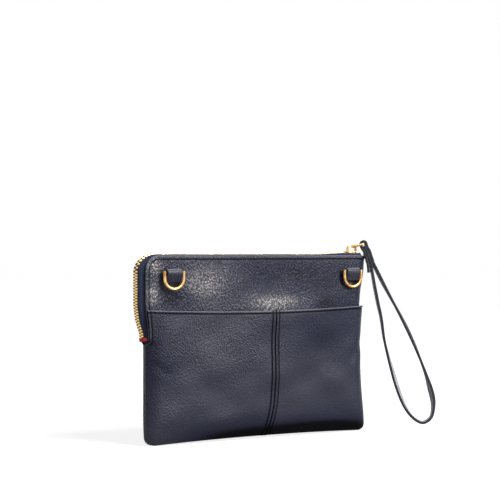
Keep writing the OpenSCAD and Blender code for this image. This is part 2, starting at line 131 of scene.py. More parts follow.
class Side(Enum):
    """Edges of a grid of points, columns by rows."""

    LEFT = np.s_[:1]
    RIGHT = np.s_[-1:]
    LOW = np.s_[:, :1]
    HIGH = np.s_[:, -1:]


# Small sums


def smooth(t: Array | float) -> Array:
    """Smooth step from 0 to 1 of a share that may run past both ends."""
    c = np.clip(t, 0.0, 1.0)
    return c * c * (3.0 - 2.0 * c)


def mix(a: Any, b: Any, t: Any) -> Any:
    """Straight blend from a to b."""
    return a + (b - a) * t


def bell(away: Any, spread: float) -> Any:
    """Bell curve: 1 at no distance, fading over a spread."""
    return np.exp(-((away / spread) ** 2))


def unit(v: Array) -> Array:
    """Vectors of length one along the last axis."""
    return v / np.maximum(np.linalg.norm(v, axis=-1, keepdims=True), 1e-12)


def dip(e: Array, radius: float) -> Array:
    """Drop of a round edge of a radius, at a distance e from the edge."""
    share = np.clip(1.0 - e / radius, 0.0, 1.0)
    return radius * (1.0 - np.sqrt(np.maximum(0.0, 1.0 - share * share)))


def summed(steps: Array) -> Array:
    """Running total of steps, from 0."""
    return np.concatenate([[0.0], np.cumsum(steps)])


def run_of(points: Array) -> Array:
    """Length along a line of points, from its first point."""
    return summed(np.linalg.norm(np.diff(points, axis=0), axis=1))


def arc(centre: Pair, radius: float, start: float, end: float, count: int) -> Array:
    """Points of a flat arc between two angles in degrees."""
    a = np.radians(np.linspace(start, end, count))
    return np.array(centre) + radius * np.column_stack([np.cos(a), np.sin(a)])


def spline(points: Array, per_span: int) -> Array:
    """Smooth line through points.

    Args:
        points: the points that the line passes through.
        per_span: steps from one point to the next.

    Returns:
        The points of the line.
    """
    p = np.vstack([points[0], points, points[-1]])
    t = np.linspace(0.0, 1.0, per_span, endpoint=False)[:, None]
    spans = []
    for i in range(len(points) - 1):
        a, b, c, d = p[i : i + 4]
        bent = (2 * a - 5 * b + 4 * c - d) * t**2 + (3 * b - a - 3 * c + d) * t**3
        spans.append(0.5 * (2 * b + (c - a) * t + bent))
    return np.vstack([*spans, points[-1:]])


def steps_in(far: float) -> Array:
    """Distances from an edge: a few close ones, then even steps up to a far one."""
    count = max(1, round((far - EDGE_STEPS[-1]) / FACE_STEP))
    return np.concatenate([EDGE_STEPS, np.linspace(EDGE_STEPS[-1], far, count + 1)[1:]])


def edge_distance(points: Array, *sides: Side) -> Array:
    """Distance of each point of a grid from the nearest of some of its edges, or of all four."""
    lines = [points[side.value] for side in sides or Side]
    return np.minimum.reduce([np.linalg.norm(points - line, axis=-1) for line in lines])


def mirror_y(points: Array) -> Array:
    """Front points carried to the back."""
    return points * np.array([1.0, -1.0, 1.0])


def cut_size(points: Array) -> Pair:
    """Flat size of a sheet of cloth in metres: the mean runs across and along its grid of points."""
    grids = (points.swapaxes(0, 1), points)
    return tuple(float(np.mean([run_of(line)[-1] for line in grid])) * MM for grid in grids)


def corners(node: str) -> tuple[Array, Array]:
    """Lowest and highest corner of a solid, in millimetres."""
    low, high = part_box(node)
    return np.array(low) / MM, np.array(high) / MM


# Mesh helpers


def new_object(name: str, points: Array, faces: Sequence[Sequence[int]]) -> Piece:
    """Make an object from points in millimetres.

    Args:
        name: name of the piece.
        points: one row per vertex.
        faces: vertex numbers of each face.

    Returns:
        The new object, smooth shaded, at the origin.
    """
    mesh = bpy.data.meshes.new(name)
    mesh.from_pydata((np.asarray(points, float) * MM).tolist(), [], faces)
    mesh.update()
    mesh.polygons.foreach_set("use_smooth", [True] * len(mesh.polygons))
    obj = bpy.data.objects.new(name, mesh)
    bpy.context.scene.collection.objects.link(obj)
    return obj


def uv_grid(u: Array, v: Array) -> Array:
    """Texture coordinates of a grid, from lengths in millimetres."""
    return np.stack(np.meshgrid(u, v, indexing="ij"), -1) * MM


def set_uv(obj: Piece, uv: Array) -> None:
    """Give a mesh one texture coordinate per vertex.

    Args:
        obj: the piece.
        uv: one row per vertex.
    """
    mesh = obj.data
    corner = np.zeros(len(mesh.loops), np.int32)
    mesh.loops.foreach_get("vertex_index", corner)
    layer = mesh.uv_layers.new(name="UVMap")
    layer.data.foreach_set("uv", uv[corner].astype(np.float32).ravel())


def set_mark(obj: Piece, name: str, values: Array | float) -> None:
    """Store a value from 0 to 1, such as scuffing, gloss or painted light and shade, on each vertex.

    Args:
        obj: the piece.
        name: name of the value.
        values: one per vertex, or one for all.
    """
    attribute = obj.data.attributes.new(name, "FLOAT", "POINT")
    spread = np.broadcast_to(np.asarray(values, np.float32), len(obj.data.vertices))
    attribute.data.foreach_set("value", np.ascontiguousarray(spread))


def dress(obj: Piece, finishes: Sequence[Material], slot: Slot, *nodes: str) -> Piece:
    """Give a piece its finishes and hide the solids that it stands for.

    Args:
        obj: the piece.
        finishes: its materials, in the order of its faces' numbers.
        slot: not used.
        *nodes: the solids.

    Returns:
        The piece.
    """
    for finish in finishes:
        obj.data.materials.append(finish)
    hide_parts(*nodes)
    return obj


def activate(obj: Piece) -> None:
    """Leave one object selected and active.

    Args:
        obj: the object.
    """
    bpy.ops.object.select_all(action="DESELECT")
    obj.select_set(True)
    bpy.context.view_layer.objects.active = obj


def edit(obj: Piece) -> None:
    """Open an object in edit mode with all of it selected.

    Args:
        obj: the object.
    """
    activate(obj)
    bpy.ops.object.mode_set(mode="EDIT")
    bpy.ops.mesh.select_all(action="SELECT")


def leave_edit() -> None:
    """Go back to object mode."""
    bpy.ops.object.mode_set(mode="OBJECT")


def face_outward(obj: Piece) -> None:
    """Turn the faces of a closed piece outward.

    Args:
        obj: the piece.
    """
    edit(obj)
    bpy.ops.mesh.normals_make_consistent(inside=False)
    leave_edit()


def smooth_shade(obj: Piece, angle: float) -> None:
    """Shade a piece smooth but for edges sharper than an angle in degrees."""
    activate(obj)
    bpy.ops.object.shade_smooth_by_angle(angle=math.radians(angle))


def apply_bevel(obj: Piece, width: float, segments: int = 3) -> None:
    """Round an object's sharp edges.

    Args:
        obj: the object.
        width: size of the bevel.
        segments: facets across the bevel.
    """
    activate(obj)
    bevel = obj.modifiers.new("round", "BEVEL")
    bevel.width = width * MM
    bevel.segments = segments
    bevel.limit_method = "ANGLE"
    bevel.angle_limit = math.radians(35.0)
    bpy.ops.object.modifier_apply(modifier=bevel.name)
    smooth_shade(obj, 50.0)


def extruded(name: str, outline: Array, along: Sequence[float], bevel: float) -> Piece:
    """Make a solid by drawing an outline and extruding it.

    Args:
        name: name of the piece.
        outline: points of the outline, in place.
        along: the way that it is extruded.
        bevel: size of its rounded edges.

    Returns:
        The solid.
    """
    obj = new_object(name, outline, [list(range(len(outline)))])
    edit(obj)
    bpy.ops.mesh.extrude_region_move(TRANSFORM_OT_translate={"value": tuple(v * MM for v in along)})
    leave_edit()
    face_outward(obj)
    apply_bevel(obj, bevel)
    return obj


def wire(name: str, points: Array, radius: float, closed: bool = True, facets: int = 1) -> Piece:
    """Make a round wire or thread.

    Args:
        name: name of the piece.
        points: middle line of the wire.
        radius: radius of the wire.
        closed: true for a ring.
        facets: roundness of a wire with ends; a ring is always round.

    Returns:
        The wire, as a mesh.
    """
    curve = bpy.data.curves.new(name, "CURVE")
    curve.dimensions = "3D"
    curve.bevel_depth = radius * MM
    curve.bevel_resolution = 5 if closed else facets
    curve.use_fill_caps = not closed
    line = curve.splines.new("POLY")
    line.points.add(len(points) - 1)
    for point, place in zip(line.points, points):
        point.co = (*(place * MM), 1.0)
    line.use_cyclic_u = closed
    obj = bpy.data.objects.new(name, curve)
    bpy.context.scene.collection.objects.link(obj)
    activate(obj)
    bpy.ops.object.convert(target="MESH")
    made = bpy.context.view_layer.objects.active
    smooth_shade(made, 60.0)
    return made


def joined(name: str, parts: Sequence[Piece]) -> Piece:
    """Join parts into one piece.

    Args:
        name: name of the piece.
        parts: the parts, of which the first is kept.

    Returns:
        The piece.
    """
    activate(parts[0])
    for part in parts[1:]:
        part.select_set(True)
    bpy.ops.object.join()
    parts[0].name = name
    return parts[0]


@dataclass
class Place:
    """Place and turn of one copy."""

    origin: Array
    along: Array
    across: Array
    up: Array


@dataclass
class Template:
    """A small shape that is modelled once and copied along a line."""

    points: Array
    faces: list[list[int]]

    @classmethod
    def take(cls, obj: Piece) -> "Template":
        """Read a shape from an object and delete the object.

        Args:
            obj: the object.

        Returns:
            The template.
        """
        points = np.array([v.co for v in obj.data.vertices], float) / MM
        faces = [list(p.vertices) for p in obj.data.polygons]
        bpy.data.objects.remove(obj)
        return cls(points, faces)

    def copies(self, name: str, frames: Sequence[Place]) -> Piece:
        """Put one copy at each place, all in one piece.

        Args:
            name: name of the piece.
            frames: places of the copies.

        Returns:
            The piece.
        """
        points = [f.origin + self.points @ np.array([f.along, f.across, f.up]) for f in frames]
        count = len(self.points)
        faces = [[v + k * count for v in face] for k in range(len(frames)) for face in self.faces]
        return new_object(name, np.vstack(points), faces)


def quads(index: Array) -> Array:
    """Faces between the neighbours in a grid of vertex numbers."""
    around = [index[:-1, :-1], index[1:, :-1], index[1:, 1:], index[:-1, 1:]]
    return np.stack(around, -1).reshape(-1, 4)


def shell(name: str, outer: Array, inner: Array, marks: dict[str, Array], back: bool = False) -> Piece:
    """Close two grids of points, which share their border, into one thin sheet.

    Args:
        name: name of the piece.
        outer: points of the outer face of a front sheet, columns by rows.
        inner: points of its inner face.
        marks: values of each outer point, by name.
        back: true where the sheet is carried to the back, so that its faces turn the other way.

    Returns:
        The sheet.
    """
    if back:
        outer, inner = mirror_y(outer), mirror_y(inner)
    count = outer.shape[0] * outer.shape[1]
    top = np.arange(count).reshape(outer.shape[:2])
    inside = np.zeros(top.shape, bool)
    inside[1:-1, 1:-1] = True
    low = top.copy()
    low[inside] = count + np.arange(inside.sum())
    shared = np.where(inside[..., None], outer, (outer + inner) / 2)
    faces = np.vstack([quads(top), quads(low)[:, ::-1]])
    points = np.vstack([shared.reshape(-1, 3), inner[inside]])
    obj = new_object(name, points, (faces[:, ::-1] if back else faces).tolist())
    u, v = (summed(np.linalg.norm(np.diff(outer, axis=k), axis=-1).mean(axis=1 - k)) for k in (0, 1))
    grid = uv_grid(u, v)
    set_uv(obj, np.vstack([grid.reshape(-1, 2), grid[inside]]))
    for mark, values in marks.items():
        set_mark(obj, mark, np.concatenate([values.ravel(), np.zeros(inside.sum())]))
    return obj


@dataclass
class Ribbon:
    """A strip with round edges that follows a line.

    Its normal points to its back, or flesh side.
    """

    width: float
    thickness: float
    rounding: float = 0.46
    corner_steps: int = 3
    face_steps: int = 4
    end_share: float = 0.72

    def ring(self) -> tuple[Array, list[int]]:
        """Draw the cross-section, as points across and through the strip.

        Returns:
            The points, and one side per stretch.
        """
        r = self.rounding * self.thickness
        w, t = self.width / 2 - r, self.thickness / 2 - r
        centres = ((w, t), (-w, t), (-w, -t), (w, -t))
        turns = [arc(c, r, 90 * k, 90 * k + 90, self.corner_steps + 1) for k, c in enumerate(centres)]
        shares = np.linspace(0, 1, self.face_steps + 1)[1:-1, None]
        points, sides = [], []
        for k, face in enumerate((FLESH_SIDE, CUT_EDGE, GRAIN_SIDE, CUT_EDGE)):
            points.append(turns[k])
            sides += [CUT_EDGE] * self.corner_steps + [face]
            if face != CUT_EDGE:
                points.append(mix(turns[k][-1], turns[(k + 1) % 4][0], shares))
                sides += [face] * len(shares)
        return np.vstack(points), sides

    def sweep(self, name: str, line: Array, normal: Array, side: Array) -> Piece:
        """Sweep the strip along a line.

        Args:
            name: name of the piece.
            line: middle line.
            normal: unit vectors towards the flesh side.
            side: unit vectors across the strip.

        Returns:
            The strip, whose faces are numbered by flesh side, grain side and cut edge.
        """
        ring, sides = self.ring()
        count = len(line)
        shrink = np.ones((count, 1, 1))
        shrink[[0, -1]] = self.end_share
        section = ring[None, :, :1] * side[:, None] + ring[None, :, 1:] * normal[:, None]
        points = line[:, None] + section * shrink
        index = np.arange(count * len(ring)).reshape(count, -1)
        faces = quads(np.hstack([index, index[:, :1]])).tolist()
        faces += [index[0].tolist(), index[-1][::-1].tolist()]
        obj = new_object(name, points.reshape(-1, 3), faces)
        obj.data.polygons.foreach_set("material_index", sides * (count - 1) + [CUT_EDGE] * 2)
        face_outward(obj)
        set_uv(obj, uv_grid(run_of(line), run_of(ring)).reshape(-1, 2))
        return obj


# Finishes


class NodeTree:
    """Adds nodes to the tree of a material or of the world, and joins them."""

    def __init__(self, owner: Material | bpy.types.World) -> None:
        """Open the owner's tree."""
        owner.use_nodes = True
        self.owner, self.tree = owner, owner.node_tree

    @classmethod
    def material(cls, name: str) -> "NodeTree":
        """Start a material with one Principled shader."""
        return cls(bpy.data.materials.new(name))

    def add(self, kind: str, inputs: dict[Any, Any] | None = None, **settings: Any) -> bpy.types.Node:
        """Add a node.

        Args:
            kind: the node's type, without its ShaderNode prefix.
            inputs: values or sockets for its inputs.
            **settings: its own properties.

        Returns:
            The node.
        """
        node = self.tree.nodes.new("ShaderNode" + kind)
        for key, value in settings.items():
            setattr(node, key, value)
        for key, value in (inputs or {}).items():
            self.feed(node.inputs[key], value)
        return node

    def feed(self, socket: Socket, value: Any) -> None:
        """Set an input to a value or a colour, or join a socket to it.

        Args:
            socket: the input.
            value: a number, a colour or a socket.
        """
        if isinstance(value, Socket):
            self.tree.links.new(value, socket)
        else:
            socket.default_value = (*value, 1.0) if socket.type == "RGBA" else value

    def place(self, kind: str = "Object") -> Socket:
        """Coordinates of the piece."""
        return self.add("TexCoord").outputs[kind]

    def mapped(self, vector: Socket, **inputs: Colour) -> Socket:
        """Coordinates turned by Rotation and stretched by Scale."""
        return self.add("Mapping", {"Vector": vector, **inputs}).outputs[0]

    def vector(self, operation: str, inputs: dict[Any, Any], output: str = "Vector") -> Socket:
        """Sum of vectors."""
        return self.add("VectorMath", inputs, operation=operation).outputs[output]

    def noise(self, vector: Socket, scale: float, detail: float, output: str = "Fac", **more: float) -> Socket:
        """Cloudy noise."""
        inputs = {"Vector": vector, "Scale": scale, "Detail": detail, **more}
        return self.add("TexNoise", inputs).outputs[output]

    def threads(self, vector: Socket, size: float, way: str = "X", **more: float) -> Socket:
        """Bands of threads of a size in millimetres."""
        inputs = {"Vector": vector, "Scale": math.pi / (10.0 * size * MM), **more}
        return self.add("TexWave", inputs, bands_direction=way).outputs["Fac"]

    def mark(self, name: str) -> Socket:
        """Value that is stored on the vertices."""
        return self.add("Attribute", attribute_name=name).outputs["Fac"]

    def bump(self, height: Socket, strength: Any, depth: float) -> Socket:
        """Normals of a relief, whose depth is in millimetres."""
        inputs = {"Strength": strength, "Distance": depth * MM, "Height": height}
        return self.add("Bump", inputs).outputs["Normal"]

    def math(self, operation: str, a: Any, b: Any = 0.0, c: Any = 0.0) -> Socket:
        """Sum of up to three numbers."""
        return self.add("Math", {0: a, 1: b, 2: c}, operation=operation).outputs[0]

    def weighed(self, a: Socket, share_a: float, b: Socket, share_b: float) -> Socket:
        """Two values added by their shares."""
        return self.math("MULTIPLY_ADD", a, share_a, self.math("MULTIPLY", b, share_b))

    def blend(self, share: Any, a: Any, b: Any) -> Socket:
        """Blend of two colours by a share."""
        return self.add("Mix", {0: share, 6: a, 7: b}, data_type="RGBA").outputs[2]

    def span(
        self, value: Any, low: float, high: float, start: float = 0.0, end: float = 1.0, way: str = "SMOOTHSTEP"
    ) -> Socket:
        """Map a value from low and high to start and end."""
        inputs = {"Value": value, "From Min": low, "From Max": high, "To Min": start, "To Max": end}
        return self.add("MapRange", inputs, interpolation_type=way).outputs[0]

    def set(self, **values: Any) -> Material:
        """Set the shader's own inputs.

        Args:
            **values: values or sockets, named with underscores for spaces.

        Returns:
            The material.
        """
        shader = self.tree.nodes["Principled BSDF"]
        for key, value in values.items():
            self.feed(shader.inputs[key.replace("_", " ")], value)
        return self.owner


def srgb(red: float, green: float, blue: float) -> Colour:
    """Linear colour of a screen colour of 0 to 255."""
    shares = (v / 255.0 for v in (red, green, blue))
    return tuple(s / 12.92 if s <= 0.04045 else ((s + 0.055) / 1.055) ** 2.4 for s in shares)


@dataclass(frozen=True)
class LeatherFinish:
    """Soft pebbled leather with a glint on its grain and pale scuffed edges, and with painted light: highlights
    on rims and folds, glints on the pebbles' tops, and shade in the sewn grooves and on dull stretches.
    """

    name: str
    # Pale colour of scuffed edges, also painted as highlights on rims, folds and the pockets' mouth.
    worn_and_painted_highlight: Colour = srgb(112, 114, 126)
    top: Colour = srgb(27, 29, 51)
    valley: Colour = srgb(14, 15, 28)
    # Near black of the painted shade in the sewn grooves and on dull stretches.
    sunk: Colour = srgb(5, 5, 9)
    # Pale colour of painted glints on the pebbles' tops where the gloss mark is high.
    painted_glint: Colour = (0.37, 0.33, 0.3)
    cell: float = 1.4
    gloss: float = 0.32
    dull: float = 0.6
    depth: float = 0.42
    shine: float = 0.38
    # Strength of those painted glints.
    painted_glint_strength: float = 0.0
    pore_scale: float = 1300.0
    patch_scale: float = 24.0
    warp_scale: float = 170.0

    def build(self) -> Material:
        """Make the material.

        Returns:
            The material.
        """
        n = NodeTree.material(self.name)
        place = n.place()
        wear_and_painted_highlight, groove, sheen, pebbled = (n.mark(name) for name in (WEAR_AND_PAINTED_HIGHLIGHT, PAINTED_SHADE, GLOSS_AND_PAINTED_LIGHT, GRAIN))
        pores = n.noise(place, self.pore_scale, 3.0)
        patch = n.noise(place, self.patch_scale, 3.0, Roughness=0.6)
        warp = n.vector("SUBTRACT", {0: n.noise(place, self.warp_scale, 2.0, "Color"), 1: (0.5, 0.5, 0.5)})
        push = n.vector("SCALE", {0: warp, "Scale": 0.7 * self.cell * MM})
        moved = n.vector("ADD", {0: place, 1: push})
        turned = n.mapped(moved, Rotation=(0.0, 0.7, 0.0), Scale=(1.0, 1.0, 0.8))
        rate = {"Vector": turned, "Scale": 1.0 / (self.cell * MM), "Smoothness": 0.05}
        away = n.math("DIVIDE", n.add("TexVoronoi", rate, feature="SMOOTH_F1").outputs["Distance"], 0.8)
        pebble = n.span(n.math("MULTIPLY", away, away), 0.0, 1.0, 1.0, 0.0, "LINEAR")
        full = n.math("MULTIPLY", n.span(patch, 0.32, 0.68, 0.6, 1.0), n.span(pebbled, 0.0, 1.0, 0.35, 1.4))
        deep = n.math("MULTIPLY", full, n.span(groove, 0.0, 1.0, 1.0, 0.2))
        lively = n.blend(n.weighed(pebble, 0.7, patch, 0.4), self.valley, self.top)
        # Painted shade: near black where the gloss mark is low, as along the base and under the left ring.
        grain = n.blend(n.span(sheen, 0.0, 0.24), self.sunk, lively)
        # Painted glints: pale dots on the pebbles' tops where the gloss mark is high.
        painted_glints = n.math("MULTIPLY", n.math("POWER", pebble, 3.0), n.span(sheen, 0.5, 1.0, 0.0, self.painted_glint_strength))
        # Pale scuffing, also painted highlights, where its mark is set.
        rub_and_highlight_share = n.math("MULTIPLY", wear_and_painted_highlight, n.span(pores, 0.3, 0.6, 0.6, 1.0))
        edged = n.blend(rub_and_highlight_share, n.blend(painted_glints, grain, self.painted_glint), self.worn_and_painted_highlight)
        glint = n.span(sheen, 0.0, 1.0, 0.2 * self.shine, 2.5 * self.shine, "LINEAR")
        return n.set(
            # Painted shade along the sewn grooves.
            Base_Color=n.blend(groove, edged, self.sunk),
            Roughness=n.span(pebble, 0.0, 1.0, self.dull, self.gloss),
            Normal=n.bump(n.math("MULTIPLY_ADD", pores, 0.22, pebble), deep, self.depth),
            Specular_IOR_Level=n.math("MULTIPLY", glint, n.span(groove, 0.0, 1.0, 1.0, 0.12)),
        )


@dataclass(frozen=True)
class SuedeFinish:
    """Brushed flesh side of the strap, or a matt painted edge."""

    name: str
    colour: Colour
    shade: Colour
    nap_scale: float = 1300.0
    cloud_scale: float = 110.0

    def build(self) -> Material:
        """Make the material.

        Returns:
            The material.
        """
        n = NodeTree.material(self.name)
        place = n.place()
        nap = n.noise(place, self.nap_scale, 4.0)
        share = n.span(n.weighed(nap, 0.5, n.noise(place, self.cloud_scale, 2.0), 0.5), 0.35, 0.65)
        n.set(Sheen_Weight=0.3, Sheen_Roughness=0.6, Specular_IOR_Level=0.15)
        colour = n.blend(share, self.shade, self.colour)
        return n.set(Base_Color=colour, Roughness=0.95, Normal=n.bump(nap, 0.6, 0.15))


@dataclass(frozen=True)
class ClothFinish:
    """Woven cloth whose threads follow the piece's own texture coordinates."""

    name: str
    colour: Colour
    shade: Colour
    thread: float
    slant: float = 0.0
    relief: float = 0.12
    fuzz_scale: float = 900.0

    def build(self) -> Material:
        """Make the material.

        Returns:
            The material.
        """
        n = NodeTree.material(self.name)
        place = n.place("UV")
        turned = n.mapped(place, Rotation=(0.0, 0.0, self.slant))
        over = n.math("MULTIPLY", n.threads(turned, self.thread), n.threads(turned, self.thread, "Y"))
        share = n.weighed(over, 0.75, n.noise(place, self.fuzz_scale, 3.0), 0.4)
        n.set(Sheen_Weight=0.2, Sheen_Roughness=0.5, Specular_IOR_Level=0.25)
        colour = n.blend(share, self.shade, self.colour)
        return n.set(Base_Color=colour, Roughness=0.82, Normal=n.bump(share, 0.7, self.relief))


@dataclass(frozen=True)
class MetalFinish:
    """Polished pale gold plate with faint rubbing marks and painted shade in its hollows."""

    name: str
    colour: Colour
    deep: Colour
    roughness: float
    painted_hollow_shade: Colour = (0.2, 0.085, 0.016)
    rub_scale: float = 900.0
    cloud_scale: float = 240.0

    def build(self) -> Material:
        """Make the material.

        Returns:
            The material.
        """
        n = NodeTree.material(self.name)
        place = n.place()
        rubs = n.noise(n.mapped(place, Scale=(1.0, 1.0, 7.0)), self.rub_scale, 2.0)
        plate = n.blend(n.span(n.noise(place, self.cloud_scale, 3.0), 0.35, 0.65), self.deep, self.colour)
        return n.set(
            # Painted shade where the shade mark is set, on the teeth's heads and roots.
            Base_Color=n.blend(n.mark(PAINTED_SHADE), plate, self.painted_hollow_shade),
            Roughness=n.span(rubs, 0.3, 0.7, self.roughness, self.roughness + 0.14),
            Normal=n.bump(rubs, 0.12, 0.03),
            Metallic=1.0,
        )


@dataclass(frozen=True)
class ThreadFinish:
    """Twisted sewing thread."""

    name: str
    colour: Colour
    shade: Colour
    twist: float = 0.35
    fuzz_scale: float = 2400.0

    def build(self) -> Material:
        """Make the material.

        Returns:
            The material.
        """
        n = NodeTree.material(self.name)
        place = n.place()
        ply = n.threads(n.mapped(place, Rotation=(0.4, 0.7, 0.3)), self.twist, Distortion=0.6)
        share = n.weighed(ply, 0.7, n.noise(place, self.fuzz_scale, 2.0), 0.4)
        n.set(Sheen_Weight=0.04, Sheen_Roughness=0.4, Specular_IOR_Level=0.12)
        colour = n.blend(share, self.shade, self.colour)
        return n.set(Base_Color=colour, Roughness=0.6, Normal=n.bump(share, 0.6, 0.06))


class Finishes:
    """Every material of the wallet."""

    def __init__(self) -> None:
        """Make the materials."""
        # The panel's leather gets painted glints on its glossy stretches.
        panel = LeatherFinish("panel_leather", cell=1.6, gloss=0.28, depth=0.46, shine=0.34, painted_glint_strength=0.95)
        lining = ClothFinish("lining_weave", srgb(150, 142, 128), srgb(104, 98, 88), 0.4, relief=0.08)
        tape = ClothFinish("tape_weave", srgb(40, 48, 80), srgb(15, 18, 35), 0.5, slant=QUARTER / 2)
        self.panel = panel.build()
        self.pocket = LeatherFinish("pocket_leather", cell=1.3, gloss=0.36, dull=0.62, depth=0.36).build()
        self.trim = LeatherFinish("trim_leather", srgb(168, 168, 178), cell=1.2, depth=0.2).build()
        self.suede = SuedeFinish("strap_suede", srgb(150, 148, 150), srgb(112, 111, 116)).build()
        self.edge = SuedeFinish("edge_paint", srgb(36, 38, 49), srgb(21, 22, 31)).build()
        self.tape = tape.build()
        self.lining = lining.build()
        self.gold = MetalFinish("pale_gold", srgb(236, 193, 132), srgb(206, 156, 92), 0.27).build()
        # The teeth's gold is painted lighter than that of the rings and the slider, standing in for light that
        # the teeth miss.
        self.teeth = MetalFinish("tooth_gold_painted_lighter", srgb(255, 232, 178), srgb(254, 208, 134), 0.24).build()
        self.thread = ThreadFinish("navy_thread", srgb(20, 22, 38), srgb(7, 8, 15)).build()
        self.red = ThreadFinish("red_thread", srgb(250, 82, 90), srgb(206, 42, 56)).build()


# The body's form


@dataclass(frozen=True)
class Crease:
    """A soft fold in the leather between two points on the face."""

    start: Pair
    end: Pair
    width: float
    depth: float

    def push(self, x: Array, z: Array) -> Array:
        """Outward move of points on the face; a crease with a depth moves in.

        Args:
            x: places across the front.
            z: heights.

        Returns:
            The move at each point.
        """
        a, b = np.array(self.start), np.array(self.end)
        run = b - a
        along = np.clip(((x - a[0]) * run[0] + (z - a[1]) * run[1]) / (run @ run), 0.0, 1.0)
        away = np.hypot(x - a[0] - along * run[0], z - a[1] - along * run[1])
        ends = 1.0 - (2.0 * along - 1.0) ** 4
        return -self.depth * ends * bell(away, self.width)


@dataclass(frozen=True)
class GlossAndPaintedLightPatch:
    """A stretch of the face whose grain is glossier or duller than the rest; a dull stretch is also painted in
    shade, and a glossy one on the panel gets painted glints.
    """

    place: Pair
    reach: Pair
    amount: float

    def share(self, x: Array, z: Array) -> Array:
        """Change of the gloss, and with it of the painted shade and glints, at points on the face."""
        return self.amount * bell(x - self.place[0], self.reach[0]) * bell(z - self.place[1], self.reach[1])


